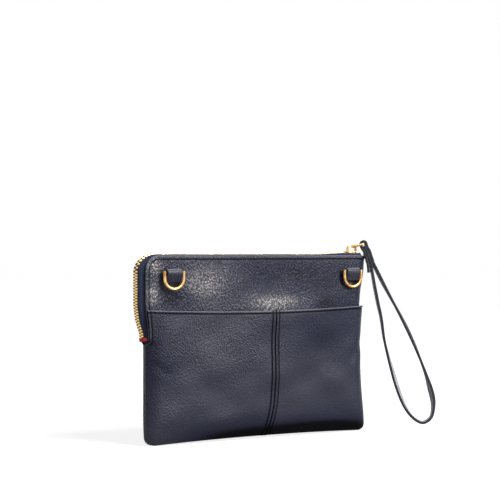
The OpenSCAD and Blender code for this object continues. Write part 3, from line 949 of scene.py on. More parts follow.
@dataclass
class BodyForm:
    """Skin of the soft body; a column u runs from the left side to the right, a row g from base to top.

    A wave is its size, length, heading in degrees and phase.
    """

    width: float
    height: float
    belly: float = 12.0
    gusset: float = 8.5
    leather: float = 1.6
    gap: float = 0.3
    seam_half: float = 0.2
    zip_corner: float = 13.0
    end_corner: float = 4.0
    base_corner: float = 9.0
    base_roll: float = 24.0
    base_half: float = 2.2
    base_arch: float = 2.2
    arch_run: float = 70.0
    side_roll: float = 12.0
    side_pull: float = 7.0
    side_pull_run: float = 34.0
    left_pull: float = 3.0
    left_pull_top: float = 126.0
    left_pull_run: float = 30.0
    zip_end: float = 93.0
    zip_taper: float = 5.5
    roll_u: float = 0.12
    flat_g: float = -0.6
    step_u: float = 0.002
    step_g: float = 0.02
    lip: float = 1.7
    lip_run: float = 13.0
    lip_flat: float = 4.0
    wave_fade: float = 26.0
    crease_fade: float = 12.0
    waves: tuple[tuple[float, float, float, float], ...] = (
        (0.55, 96.0, 20.0, 0.4),
        (0.42, 67.0, 75.0, 1.9),
        (0.30, 49.0, 130.0, 3.1),
        (0.18, 34.0, 50.0, 4.4),
        (0.11, 24.0, 105.0, 0.9),
    )
    creases: tuple[Crease, ...] = (
        Crease((121.0, 88.0), (99.0, 66.0), 5.4, 0.6),
        Crease((121.0, 78.0), (104.0, 58.0), 5.6, -0.35),
        Crease((-117.0, 74.0), (-96.0, 60.0), 3.6, 0.6),
        Crease((-80.0, 112.0), (70.0, 110.0), 19.0, -1.5),
        Crease((60.0, 60.0), (112.0, 34.0), 10.0, -0.6),
        Crease((-100.0, 96.0), (-30.0, 50.0), 16.0, -0.5),
        Crease((-104.0, 138.0), (-84.0, 121.0), 7.0, 0.9),
    )
    gloss: float = 0.42
    faint: float = 0.5
    panel_faint: Pair = (10.0, 60.0)
    pocket_faint: Pair = (-5.0, 50.0)
    pocket_grain: Pair = (0.25, 0.65)
    grain_rise: Pair = (45.0, 45.0)
    # Stretches of gloss and of painted light: dull ones paint shade, as along the base and under the left ring;
    # glossy ones get painted glints on the panel.
    gloss_and_painted_light_patches: tuple[GlossAndPaintedLightPatch, ...] = (
        GlossAndPaintedLightPatch((-60.0, 142.0), (27.0, 16.0), 0.45),
        GlossAndPaintedLightPatch((-111.0, 156.0), (8.0, 7.0), 0.5),
        GlossAndPaintedLightPatch((-112.0, 131.0), (7.0, 11.0), 0.7),
        GlossAndPaintedLightPatch((20.0, 150.0), (60.0, 18.0), -0.22),
        GlossAndPaintedLightPatch((16.0, 123.0), (31.0, 8.5), 0.6),
        GlossAndPaintedLightPatch((66.0, 122.0), (18.0, 8.0), -0.18),
        GlossAndPaintedLightPatch((-92.0, 128.0), (15.0, 11.0), -0.34),
        GlossAndPaintedLightPatch((62.0, 146.0), (34.0, 26.0), -0.1),
        GlossAndPaintedLightPatch((95.0, 132.0), (28.0, 22.0), -0.14),
        GlossAndPaintedLightPatch((-48.0, 82.0), (36.0, 32.0), 0.16),
        GlossAndPaintedLightPatch((-114.0, 90.0), (13.0, 42.0), -0.22),
        GlossAndPaintedLightPatch((-100.0, 62.0), (15.0, 18.0), -0.16),
        GlossAndPaintedLightPatch((66.0, 92.0), (48.0, 28.0), -0.24),
        GlossAndPaintedLightPatch((10.0, 36.0), (110.0, 14.0), 0.16),
        GlossAndPaintedLightPatch((10.0, 0.0), (85.0, 13.0), -0.75),
        GlossAndPaintedLightPatch((-108.0, 6.0), (26.0, 16.0), 0.4),
        GlossAndPaintedLightPatch((84.0, 0.0), (45.0, 12.0), -0.55),
    )

    @property
    def half(self) -> float:
        """Half of the width."""
        return self.width / 2

    def roll(self, u: Array) -> Array:
        """Angle of the rolled side at a column that is counted from that side."""
        return QUARTER * np.clip(u / self.roll_u, 0, 1)

    def column_x(self, u: Array) -> Array:
        """Place of a column across the front.

        Args:
            u: columns.

        Returns:
            The places.
        """
        left = -self.half + self.side_roll * (1 - np.cos(self.roll(u)))
        right = self.half - self.side_roll * (1 - np.cos(self.roll(1 - u)))
        reach = self.half - self.side_roll
        middle = mix(-reach, reach, (u - self.roll_u) / (1 - 2 * self.roll_u))
        return np.where(u < self.roll_u, left, np.where(u > 1 - self.roll_u, right, middle))

    def column_of(self, x: Array) -> Array:
        """Column that lies at a place across the front.

        Args:
            x: places across the front.

        Returns:
            The columns.
        """
        reach = self.half - self.side_roll
        angle = np.arccos(np.clip(1 - (self.half - np.abs(x)) / self.side_roll, 0, 1))
        side = angle / QUARTER * self.roll_u
        middle = self.roll_u + (1 - 2 * self.roll_u) * (x + reach) / (2 * reach)
        return np.where(x < -reach, side, np.where(x > reach, 1 - side, middle))

    @staticmethod
    def corner(d: Array, r: float) -> Array:
        """Drop of a rounded corner at a distance from the side."""
        c = np.clip(r - d, 0, r)
        return r - np.sqrt(r * r - c * c)

    def bottom(self, x: Array) -> Array:
        """Height of the lower edge."""
        return self.corner(self.half - np.abs(x), self.base_corner)

    def top(self, x: Array) -> Array:
        """Height of the zip's edge."""
        left = self.corner(self.half + x, self.zip_corner)
        return self.height - left - self.corner(self.half - x, self.end_corner)

    def row_of(self, x: Array, z: Array) -> Array:
        """Row that lies at a height above the base roll."""
        return z - self.bottom(x) - self.base_roll

    def rows_to(self, top: Array, reach: float) -> Array:
        """Rows from the base roll up to an edge, close together near the edge; one line per column."""
        return top[:, None] * (1 - steps_in(reach)[::-1] / reach)[None]

    def zip_share(self, z: Array) -> Array:
        """Share of the gusset that is open at a height on the left side."""
        return smooth((z - self.zip_end + self.zip_taper) / self.zip_taper)

    def left_draw(self, z: Array) -> Array:
        """Inward draw of the left side below the zip."""
        return self.left_pull * smooth((self.left_pull_top - z) / self.left_pull_run)

    def rim_distance(self, x: Array, z: Array) -> Array:
        """Distance of a point on the face from the zip's edge, along the left side and the top.

        Args:
            x: places across the front.
            z: heights.

        Returns:
            The distances.
        """
        r = self.zip_corner
        across = x + self.half
        down = self.height - self.corner(self.half - x, self.end_corner) - z
        rounded = r - np.hypot(np.maximum(r - across, 0), np.maximum(r - down, 0))
        return np.where((across < r) & (down < r), rounded, np.minimum(across, down))

    def skin(self, u: Array, g: Array) -> Array:
        """Points of the front's skin.

        Args:
            u: columns.
            g: rows.

        Returns:
            The points.
        """
        u, g = np.broadcast_arrays(np.asarray(u, float), np.asarray(g, float))
        x = self.column_x(u)
        turn = QUARTER * np.clip(1 - g / self.flat_g, 0, 1)
        rise = np.where(g >= 0, self.base_roll + g, self.base_roll * (1 - np.cos(turn)))
        z = self.bottom(x) + np.where(g > self.flat_g, rise, 0.0)
        level = 2 * z / self.height - 1
        swell = 1 - (x / self.half) ** 2
        full = self.gusset + (self.belly - self.gusset) * swell * (1 - level**2)
        rolled = mix(self.base_half, full, np.sin(turn))
        flat = mix(self.seam_half, self.base_half, (g + 1) / (self.flat_g + 1))
        tucked = mix(self.seam_half, 2 * self.gap - self.base_half, -1 - g)
        half = np.where(g >= 0, full, np.where(g > self.flat_g, rolled, np.where(g > -1, flat, tucked)))
        left, closed = np.sin(self.roll(u)), np.sin(self.roll(1 - u))
        share = closed * mix(left, 1.0, self.zip_share(z))
        y = -self.seam_half - (half - self.seam_half) * share
        right = self.side_pull * (1 - level**2) * smooth((self.height - z) / self.side_pull_run)
        to_left, to_right = (np.maximum(0, sign * x) / self.half for sign in (-1, 1))
        draw = self.left_draw(z) * to_left**2 - right * to_right**2
        arch = self.base_arch * swell * (1 - smooth(z / self.arch_run))
        lip = self.lip * smooth((z - self.height + self.lip_run + self.lip_flat) / self.lip_run)
        return np.stack([x + draw, y, z + arch + lip], -1)

    def inward(self, u: Array, g: Array) -> Array:
        """Unit vectors from the skin into the body.

        Args:
            u: columns.
            g: rows.

        Returns:
            The vectors.
        """
        u, g = np.broadcast_arrays(np.asarray(u, float), np.asarray(g, float))
        c = np.clip(u, self.step_u, 1 - self.step_u)
        low = np.where(g >= 0, g, np.maximum(-2.0, g - self.step_g))
        high = np.where(g >= 0, g + 1.0, np.minimum(0.0, g + self.step_g))
        up = self.skin(c, high) - self.skin(c, low)
        across = self.skin(c + self.step_u, g) - self.skin(c - self.step_u, g)
        return unit(np.cross(up, across))

    def sheen(self, x: Array, z: Array) -> Array:
        """Gloss of the front leather from 0 to 1, which also sets where shade and glints are painted."""
        return np.clip(self.gloss + sum(patch.share(x, z) for patch in self.gloss_and_painted_light_patches), 0.0, 1.0)

    def grain(self, x: Array, z: Array, hem: float) -> Array:
        """Strength of the front's pebble, from 0 to 1: full above the hem at left, faint low and right.

        Args:
            x: places across the front.
            z: heights.
            hem: height of the pockets' mouth, above which the panel shows.

        Returns:
            The strength at each point.
        """
        runs = (self.panel_faint, self.pocket_faint)
        upper, right = (mix(1.0, self.faint, smooth((x - start) / run)) for start, run in runs)
        risen = smooth((z - self.grain_rise[0]) / self.grain_rise[1])
        lower = (self.pocket_grain[0] + self.pocket_grain[1] * risen) * right
        return np.where(z > hem, upper, lower)

    def slack(self, x: Array, z: Array) -> Array:
        """Soft waves and folds of the leather, outwards.

        Args:
            x: places across the front.
            z: heights.

        Returns:
            The move at each point.
        """
        total = np.zeros(np.broadcast(x, z).shape)
        for size, length, heading, phase in self.waves:
            a = math.radians(heading)
            total = total + size * np.sin(2 * np.pi * (x * math.cos(a) + z * math.sin(a)) / length + phase)
        inside = np.minimum(np.minimum(self.half - np.abs(x), self.height - z), z)
        total = total * smooth(inside / self.wave_fade)
        below = smooth((self.height - z) / self.crease_fade)
        return total + sum(crease.push(x, z) for crease in self.creases) * below

    def face_point(self, x: Array, z: Array, lift: float) -> Row:
        """Points over places on the front face.

        Args:
            x: places across the front.
            z: heights.
            lift: distance outside the skin.

        Returns:
            The points and the outward unit vectors.
        """
        u, g = self.column_of(x), self.row_of(x, z)
        out = -self.inward(u, g)
        return self.skin(u, g) + (lift + self.slack(x, z))[..., None] * out, out


# Pieces


@dataclass
class Stitching:
    """Rows of sewn stitches."""

    length: float = 2.7
    space: float = 0.75
    width: float = 0.62
    height: float = 0.5
    template: Template = field(init=False)

    def __post_init__(self) -> None:
        """Model one stitch."""
        bpy.ops.object.select_all(action="DESELECT")
        bpy.ops.mesh.primitive_uv_sphere_add(segments=8, ring_count=6, radius=0.5 * MM)
        stitch = bpy.context.view_layer.objects.active
        edit(stitch)
        bpy.ops.transform.rotate(value=QUARTER, orient_axis="Y", center_override=(0, 0, 0))
        bpy.ops.transform.resize(value=(self.length, self.width, self.height), center_override=(0, 0, 0))
        leave_edit()
        self.template = Template.take(stitch)

    def places(self, line: Array, out: Array) -> list[Place]:
        """Places of the stitches along a line.

        Args:
            line: points that the row follows.
            out: outward unit vectors there.

        Returns:
            One place per stitch.
        """
        run = run_of(line)
        pitch = self.length + self.space
        at = np.arange(pitch / 2, run[-1], pitch)

        def read(values: Array, places: Array) -> Array:
            """Values at lengths along the line."""
            return np.stack([np.interp(places, run, values[:, k]) for k in range(3)], -1)

        along = unit(read(line, at + 0.5) - read(line, at - 0.5))
        across = unit(np.cross(unit(read(out, at)), along))
        return [Place(*frame) for frame in zip(read(line, at), along, across, np.cross(along, across))]

    def sew(self, name: str, rows: Sequence[Row], finish: Material) -> Piece:
        """Sew rows of stitches as one piece.

        Args:
            name: name of the piece.
            rows: lines of points with their outward unit vectors.
            finish: the thread.

        Returns:
            The stitches.
        """
        obj = self.template.copies(name, [p for line, out in rows for p in self.places(line, out)])
        obj.data.materials.append(finish)
        return obj


@dataclass
class Fold:
    """The slanted line that the mouth folds along, and the band of leather that bends there."""

    point: Array
    axis: Array
    band: float = 14.0
    lean: float = 2.7
    rise: float = 4.9

    def bend(self, obj: Piece) -> None:
        """Bake the place of a piece of the front into its mesh.

        Args:
            obj: the piece.
        """
        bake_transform(obj)


@dataclass
class Panels:
    """Front and back leather with turned rims along the zip."""

    form: BodyForm
    finishes: Finishes
    fold: Fold
    stitching: Stitching
    rim: float = 2.7
    rim_height: float = 0.4
    groove: float = 0.35
    groove_width: float = 0.5
    shade_width: float = 0.75
    inner_lift: float = 0.3
    edge_rub: float = 0.8
    rim_rub_and_highlight: float = 0.12
    rim_rub_and_highlight_in: float = 1.9
    rim_rub_and_highlight_width: float = 0.8
    hem_level: float = 116.0
    hem_fade: float = 3.0
    hem_clear: float = 5.0
    seam_start: float = 7.0
    thread_lift: float = -0.12
    back_grain: float = 0.7

    @property
    def seam(self) -> float:
        """Distance of the rim's stitches from the zip's edge."""
        return self.rim + SEAM_IN

    def columns(self) -> Array:
        """Columns from left to right, close together near the sides."""
        side = np.linspace(0.0, self.form.roll_u, 26)
        return np.concatenate([side, np.linspace(side[-1], 1 - side[-1], 160)[1:-1], 1 - side[::-1]])

    def sheet(self, name: str, base: Array, back: bool) -> Piece:
        """Make one panel; the front's rim stops above the pockets, the back's where the zip ends.

        Args:
            name: name of the piece.
            base: rows of the base and its roll.
            back: true for the back.

        Returns:
            The panel.
        """
        f = self.form
        u = self.columns()
        across = f.column_x(u)
        upper = f.rows_to(f.row_of(across, f.top(across)), f.height - f.base_roll)
        g = np.hstack([np.tile(base, (len(u), 1)), upper])
        points, into = f.skin(u[:, None], g), f.inward(u[:, None], g)
        x = across[:, None] + 0 * g
        z = np.where(g >= 0, f.bottom(x) + f.base_roll + g, points[..., 2])
        edge, inset = edge_distance(points), f.rim_distance(x, z)
        drop = dip(edge, f.leather / 2)
        shown = f.zip_share(z) if back else smooth((z - self.hem_level) / self.hem_fade)
        raised = self.rim_height * (1 - smooth((inset - self.rim) / BAND_FADE))
        sunk = self.groove * bell(inset - self.seam, self.groove_width)
        lift = f.slack(x, z) + (raised - sunk) * shown
        outer = points + (drop - lift)[..., None] * into
        inner = points + (f.leather - drop - np.minimum(lift, self.inner_lift))[..., None] * into
        # Painted highlight along the raised rim, with some scuffing.
        rub_and_highlight_share = self.rim_rub_and_highlight * bell(inset - self.rim_rub_and_highlight_in, self.rim_rub_and_highlight_width)
        # Marks: scuffing at the cut edge with the painted rim highlight, painted shade along the rim's
        # stitches, gloss with its painted light, and pebble strength.
        marks = {
            WEAR_AND_PAINTED_HIGHLIGHT: np.maximum(self.edge_rub * bell(edge, RUB_WIDTH), rub_and_highlight_share * shown),
            PAINTED_SHADE: bell(inset - self.seam, self.shade_width) * shown,
            GLOSS_AND_PAINTED_LIGHT: np.full(g.shape, f.gloss) if back else f.sheen(x, z),
            GRAIN: np.full(g.shape, self.back_grain) if back else f.grain(x, z, self.hem_level),
        }
        return shell(name, outer, inner, marks, back)

    def rim_line(self, low: float) -> Row:
        """Line of the rim's stitches on the front, from the zip's closed end round to a height at left.

        Args:
            low: height at which the line ends.

        Returns:
            The line and its outward unit vectors.
        """
        f = self.form
        bend_x, bend_z = f.zip_corner - f.half, f.height - f.zip_corner
        top_x = np.arange(f.half - self.seam_start, bend_x, -SEWING_STEP)
        side_z = np.arange(bend_z, low, -SEWING_STEP)
        bend = arc((bend_x, bend_z), f.zip_corner - self.seam, 90, 180, 16)
        x = np.concatenate([top_x, bend[:, 0], np.full(len(side_z), self.seam - f.half)])
        z = np.concatenate([np.full(len(top_x), f.height - self.seam), bend[:, 1], side_z])
        return f.face_point(x, z, self.thread_lift)

    def build(self) -> list[Piece]:
        """Make both panels and their stitches.

        Returns:
            The pieces.
        """
        f, finish, thread = self.form, [self.finishes.panel], self.finishes.thread
        roll = np.linspace(f.flat_g, 0, 18)[:-1]
        under = np.concatenate([np.linspace(-2, -1, 7)[:-1], np.linspace(-1, f.flat_g, 5)[:-1]])
        front = self.sheet("front_leather", roll, False)
        dress(front, finish, Slot.LEATHER, "front_panel", "front_flap")
        back = self.sheet("back_leather", np.concatenate([under, roll]), True)
        dress(back, finish, Slot.LEATHER, "back_panel")
        front_line = self.rim_line(self.hem_level + self.hem_clear)
        front_row = self.stitching.sew("front_rim_stitches", [front_line], thread)
        line, out = self.rim_line(f.zip_end)
        back_row = self.stitching.sew("back_rim_stitches", [(mirror_y(line), mirror_y(out))], thread)
        for piece in (front, front_row):
            self.fold.bend(piece)
        for piece in (back, back_row):
            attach(piece, Body.BAG.value)
        return [front, back, front_row, back_row]


@dataclass
class Pockets:
    """Two slip pockets on the front, joined by a topstitched seam."""

    form: BodyForm
    finishes: Finishes
    stitching: Stitching
    seam_x: float
    height: float
    thickness: float = 1.4
    gape: float = 1.6
    mouth_over: float = 0.6
    sag: float = 3.0
    hem: float = 1.7
    seam_band: float = 2.9
    hem_rise: float = 0.35
    seam_rise: float = 0.3
    groove: float = 0.45
    groove_width: float = 0.55
    shade_width: float = 0.85
    side_shade: float = 0.8
    cut_shade: float = 0.95
    cut_clean: float = 1.5
    mouth_rub_and_highlight: float = 0.95
    edge_rub: float = 0.6
    mouth_rub_and_highlight_width: float = 0.6
    side_over: float = 4.0
    mouth_ends: Pair = (3.6, 5.0)
    seam_low: float = 3.0
    side_in: float = 3.7
    side_ends: Pair = (2.0, 2.0)
    seam_drift: float = 8.0
    drift_height: float = 36.0
    drift_width: float = 55.0
    left_u: float = 0.022
    right_u: float = 0.986
    seam_gap_u: float = 0.0002
    thread_lift: float = -0.28
    far: float = 50.0

    def mouth(self, x: Array) -> Array:
        """Height of the mouth, which sags in the middle."""
        return self.height + self.mouth_over - self.sag * (1 - (x / self.form.half) ** 2)

    def drift(self, x: Array, z: Array) -> Array:
        """Sideways run of the seam near the base, fading away from the seam."""
        low = np.clip(1 - z / self.drift_height, 0, 1) ** 1.5
        return -self.seam_drift * low * bell(x - self.seam_x, self.drift_width)

    def drifted(self, x: Array, z: Array) -> Array:
        """Column of a place that has run sideways with the seam."""
        return self.form.column_of(np.clip(x + self.drift(x, z), -self.form.half, self.form.half))

    def stand_off(self, z: Array) -> Array:
        """Gap between the front panel and a pocket."""
        share = np.clip((z - self.form.base_roll) / (self.height - self.form.base_roll), 0, 1)
        return mix(self.form.gap, self.gape, share**3)

    def relief(self, hem: Array, seam: Array, side: Array) -> Array:
        """Outward relief of the hem, the seam and the sewn side edge.

        Args:
            hem: distance from the mouth.
            seam: distance from the seam.
            side: distance from the left edge.

        Returns:
            The relief.
        """
        bands = []
        for e, width, rise in (
            (hem, self.hem, self.hem_rise),
            (seam, self.seam_band, self.seam_rise),
            (side, self.hem, self.seam_rise),
        ):
            raised = rise * (1 - smooth((e - width) / BAND_FADE))
            bands.append(raised - self.groove * bell(e - width - SEAM_IN, self.groove_width))
        return np.maximum.reduce(bands) + np.minimum(np.minimum.reduce(bands), 0)

    def sheet(self, name: str, node: str, u: Array, left: bool) -> Piece:
        """Make one pocket.

        Args:
            name: name of the piece.
            node: solid that it stands for.
            u: its columns.
            left: true for the left pocket.

        Returns:
            The pocket.
        """
        f = self.form
        across = f.column_x(u)
        upper = f.rows_to(f.row_of(across, self.mouth(across)), self.height - f.base_roll)
        g = np.hstack([np.tile(np.linspace(-0.5, 0, 16)[:-1], (len(u), 1)), upper])
        x = across[:, None] + 0 * g
        z = f.skin(u[:, None], g)[..., 2]
        column = np.where(np.abs(self.drift(x, z)) > 1e-3, self.drifted(x, z), u[:, None] + 0 * g)
        points, into = f.skin(column, g), f.inward(column, g)
        edge = edge_distance(points)
        hem = edge_distance(points, Side.HIGH)
        seam = edge_distance(points, Side.RIGHT if left else Side.LEFT)
        by_zip = (z > f.zip_end - self.side_over) & left
        side = np.where(by_zip, edge_distance(points, Side.LEFT), self.far)
        drop = dip(edge, self.thickness / 2)
        near_face = self.stand_off(z) + f.slack(x, z)
        lift = near_face + self.thickness + self.relief(hem, seam, side)
        outer = points + (drop - lift)[..., None] * into
        inner = points - (near_face + drop)[..., None] * into
        # Painted highlight along the mouth's fold, with scuffing along the cut edges.
        mouth_rub_and_highlight = self.mouth_rub_and_highlight * bell(hem, self.mouth_rub_and_highlight_width)
        rub_and_highlight = np.maximum(mouth_rub_and_highlight, self.edge_rub * bell(edge, RUB_WIDTH))
        # Painted shade along the stitch lines and the seam between the pockets.
        lines = [(hem, self.hem, 1.0), (seam, self.seam_band, 1.0), (side, self.hem, self.side_shade)]
        sunk = [share * bell(e - width - SEAM_IN, self.shade_width) for e, width, share in lines]
        # The gloss mark also paints shade low on the base roll.
        marks = {
            WEAR_AND_PAINTED_HIGHLIGHT: np.where(seam < self.cut_clean, 0.0, rub_and_highlight),
            PAINTED_SHADE: np.maximum.reduce([*sunk, bell(seam, self.cut_shade)]),
            GLOSS_AND_PAINTED_LIGHT: f.sheen(x, z),
            GRAIN: f.grain(x, z, math.inf),
        }
        obj = dress(shell(name, outer, inner, marks), [self.finishes.pocket], Slot.LEATHER_DARK, node)
        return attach(obj, Body.BAG.value)

    def over(self, x: Array, z: Array) -> Row:
        """Points just over the pockets' outer face, and the outward unit vectors there.

        Args:
            x: places across the front.
            z: heights.

        Returns:
            The points and the vectors.
        """
        f = self.form
        low = z < f.base_roll + f.bottom(x)
        turn = np.arccos(np.clip(1 - (z - f.bottom(x)) / f.base_roll, -1, 1))
        u = self.drifted(x, z)
        g = np.where(low, f.flat_g * (1 - turn / QUARTER), f.row_of(x, z))
        out = -f.inward(u, g)
        rise = self.stand_off(z) + self.thickness + f.slack(x, z) + self.thread_lift
        return f.skin(u, g) + rise[..., None] * out, out

    def stitch_rows(self) -> list[Row]:
        """Lay out the stitches along the mouth, beside the seam and down the zip's side.

        Returns:
            The lines and their outward unit vectors.
        """
        f = self.form
        below = self.hem + SEAM_IN
        x = np.arange(self.mouth_ends[0] - f.half, f.half - self.mouth_ends[1], SEWING_STEP)
        rows = [self.over(x, self.mouth(x) - below)]
        seam_top = self.mouth(np.array(self.seam_x)) - below - SEWING_STEP
        beside = self.seam_band + SEAM_IN
        for place, high, low in (
            (self.seam_x - beside, seam_top, self.seam_low),
            (self.seam_x + beside, seam_top, self.seam_low),
            (self.side_in - f.half, self.height - below - self.side_ends[0], f.zip_end - self.side_ends[1]),
        ):
            z = np.arange(high, low, -SEWING_STEP)
            rows.append(self.over(np.full(len(z), place), z))
        return rows

    def build(self) -> list[Piece]:
        """Make both pockets and their stitches.

        Returns:
            The pieces.
        """
        f = self.form
        seam = float(f.column_of(np.array(self.seam_x)))
        by_seam = np.array(EDGE_STEPS[1:]) / f.width
        reach = by_seam[-1]
        left_side = np.linspace(self.left_u, f.roll_u, 20)
        left_face = np.linspace(f.roll_u, seam - reach, 76)[1:]
        left = np.concatenate([left_side, left_face, seam - by_seam[::-1][1:], [seam - self.seam_gap_u]])
        right_face = np.linspace(seam + reach, 1 - f.roll_u, 60)[1:]
        right_side = np.linspace(1 - f.roll_u, self.right_u, 16)[1:]
        right = np.concatenate([[seam + self.seam_gap_u], seam + by_seam, right_face, right_side])
        pieces = [
            self.sheet("left_pocket", "pocket_left", left, True),
            self.sheet("right_pocket", "pocket_right", right, False),
            self.stitching.sew("pocket_stitches", self.stitch_rows(), self.finishes.thread),
        ]
        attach(pieces[-1], Body.BAG.value)
        return pieces


@dataclass
class Lining:
    """Woven lining of the body and the stepped card slots on its back."""

    form: BodyForm
    finishes: Finishes
    fold: Fold
    thickness: float = 0.5
    inset: float = 7.0
    card_width: float = 96.0
    card_low: float = 28.0
    card_mouth: float = 62.0
    card_step: float = 13.0

    def sheet(self, name: str, u: Array, g: Array, near_face: float, under: str, *nodes: str) -> Piece:
        """Make one sheet of cloth behind the leather.

        Args:
            name: name of the piece.
            u: its columns.
            g: its rows, one line per column.
            near_face: depth of the face next to the leather.
            under: name of the piece that it is sewn to, at the front or the back of the body.
            *nodes: solids that it stands for.

        Returns:
            The sheet.
        """
        f = self.form
        points, into = f.skin(u[:, None], g), f.inward(u[:, None], g)
        drop = dip(edge_distance(points), self.thickness / 2)
        slack = np.minimum(f.slack(f.column_x(u)[:, None] + 0 * g, points[..., 2]), 0.0)
        outer = points + (near_face + drop - slack)[..., None] * into
        inner = points + (near_face + self.thickness - drop - slack)[..., None] * into
        obj = shell(name, outer, inner, {}, under.startswith("back"))
        cut_size(points)
        return dress(obj, [self.finishes.lining], Slot.LINING, *nodes)

    def build(self) -> list[Piece]:
        """Make the lining and the card slots.

        Returns:
            The pieces.
        """
        f = self.form
        start = float(f.column_of(np.array(self.inset - f.half)))
        u = np.linspace(start, 1 - start, 90)
        x = f.column_x(u)
        top = f.row_of(x, f.top(x) - self.inset)
        base = np.tile(np.linspace(-0.3, 0, 7)[:-1], (len(u), 1))
        g = np.hstack([base, top[:, None] * np.linspace(0, 1, 70)[None]])
        depth, layer = f.leather + 1.5 * f.gap, self.thickness + f.gap
        front = self.sheet("front_lining", u, g, depth, "front_leather", "lining_front", "lining_flap")
        self.fold.bend(front)
        pieces = [self.sheet("back_lining", u, g, depth, "back_leather", "lining_back")]
        u = np.linspace(*f.column_of(np.array([-self.card_width / 2, self.card_width / 2])), 40)
        for level, which in enumerate(("low", "middle", "high")):
            node = f"card_slot_{which}"
            rows = np.linspace(self.card_low, self.card_mouth + level * self.card_step, 34) - f.base_roll
            g = np.tile(rows, (len(u), 1))
            pieces.append(self.sheet(f"{node}_cloth", u, g, depth + layer * (3 - level), "back_lining", node))
        for piece in pieces:
            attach(piece, Body.BAG.value)
        return [front, *pieces]


@dataclass
class ZipRoute:
    """Route of the zip along the panels' edges, from its closed end at right to its lower end at left."""

    form: BodyForm
    start_in: float = 4.5
    end_rise: float = 3.2
    rise: float = 2.0
    side_rise: float = 4.7
    low_rise: float = 1.6
    sink: float = 18.0
    end_run: Pair = (16.0, 40.0)

    @property
    def start_x(self) -> float:
        """Place of the closed end."""
        return self.form.half - self.start_in

    @property
    def top_len(self) -> float:
        """Length of the straight run along the top."""
        return self.start_x + self.form.half - self.form.zip_corner

    @property
    def arc_end(self) -> float:
        """Length up to the end of the corner."""
        return self.top_len + QUARTER * self.form.zip_corner

    @property
    def end(self) -> float:
        """Length up to the last tooth."""
        return self.arc_end + self.form.height - self.form.zip_corner - self.form.zip_end

    def turn(self, s: Array) -> Array:
        """Share of the corner that the route has turned at a length."""
        return np.clip((s - self.top_len) / (self.arc_end - self.top_len), 0, 1)

    def out(self, s: Array) -> Array:
        """Unit vectors out of the body."""
        a = QUARTER * self.turn(s)
        return np.stack([-np.sin(a), 0 * a, np.cos(a)], -1)

    def point(self, s: Array) -> Array:
        """Points on the panels' edge plane.

        Args:
            s: lengths along the route.

        Returns:
            The points.
        """
        f = self.form
        straight = np.stack([self.start_x - s, 0 * s, f.height + 0 * s], -1)
        centre = np.array([f.zip_corner - f.half, 0.0, f.height - f.zip_corner])
        drop = np.maximum(0, s - self.arc_end)
        draw = f.left_draw(f.height - f.zip_corner - drop)
        bent = centre + f.zip_corner * self.out(s) + np.stack([draw, 0 * s, -drop], -1)
        return np.where((s < self.top_len)[..., None], straight, bent)

    def chain(self, s: Array) -> Array:
        """Height of the chain's middle outside the edge.

        Args:
            s: lengths along the route.

        Returns:
            The heights.
        """
        f = self.form
        z = self.point(s)[..., 2]
        top = mix(self.end_rise, self.rise, smooth((s - self.end_run[0]) / self.end_run[1]))
        full = mix(top, self.side_rise, smooth(self.turn(s)))
        return mix(self.low_rise, full, smooth((z - f.zip_end) / self.sink)) * f.zip_share(z)

    def half_width(self, s: Array) -> Array:
        """Half width of the gusset.

        Args:
            s: lengths along the route.

        Returns:
            The half widths.
        """
        f = self.form
        p = self.point(s)
        near_end = np.clip((f.half - p[..., 0]) / f.side_roll, 0, 1)
        right = np.sqrt(1 - (1 - near_end) ** 2)
        return f.seam_half + (f.gusset - f.seam_half) * right * f.zip_share(p[..., 2])


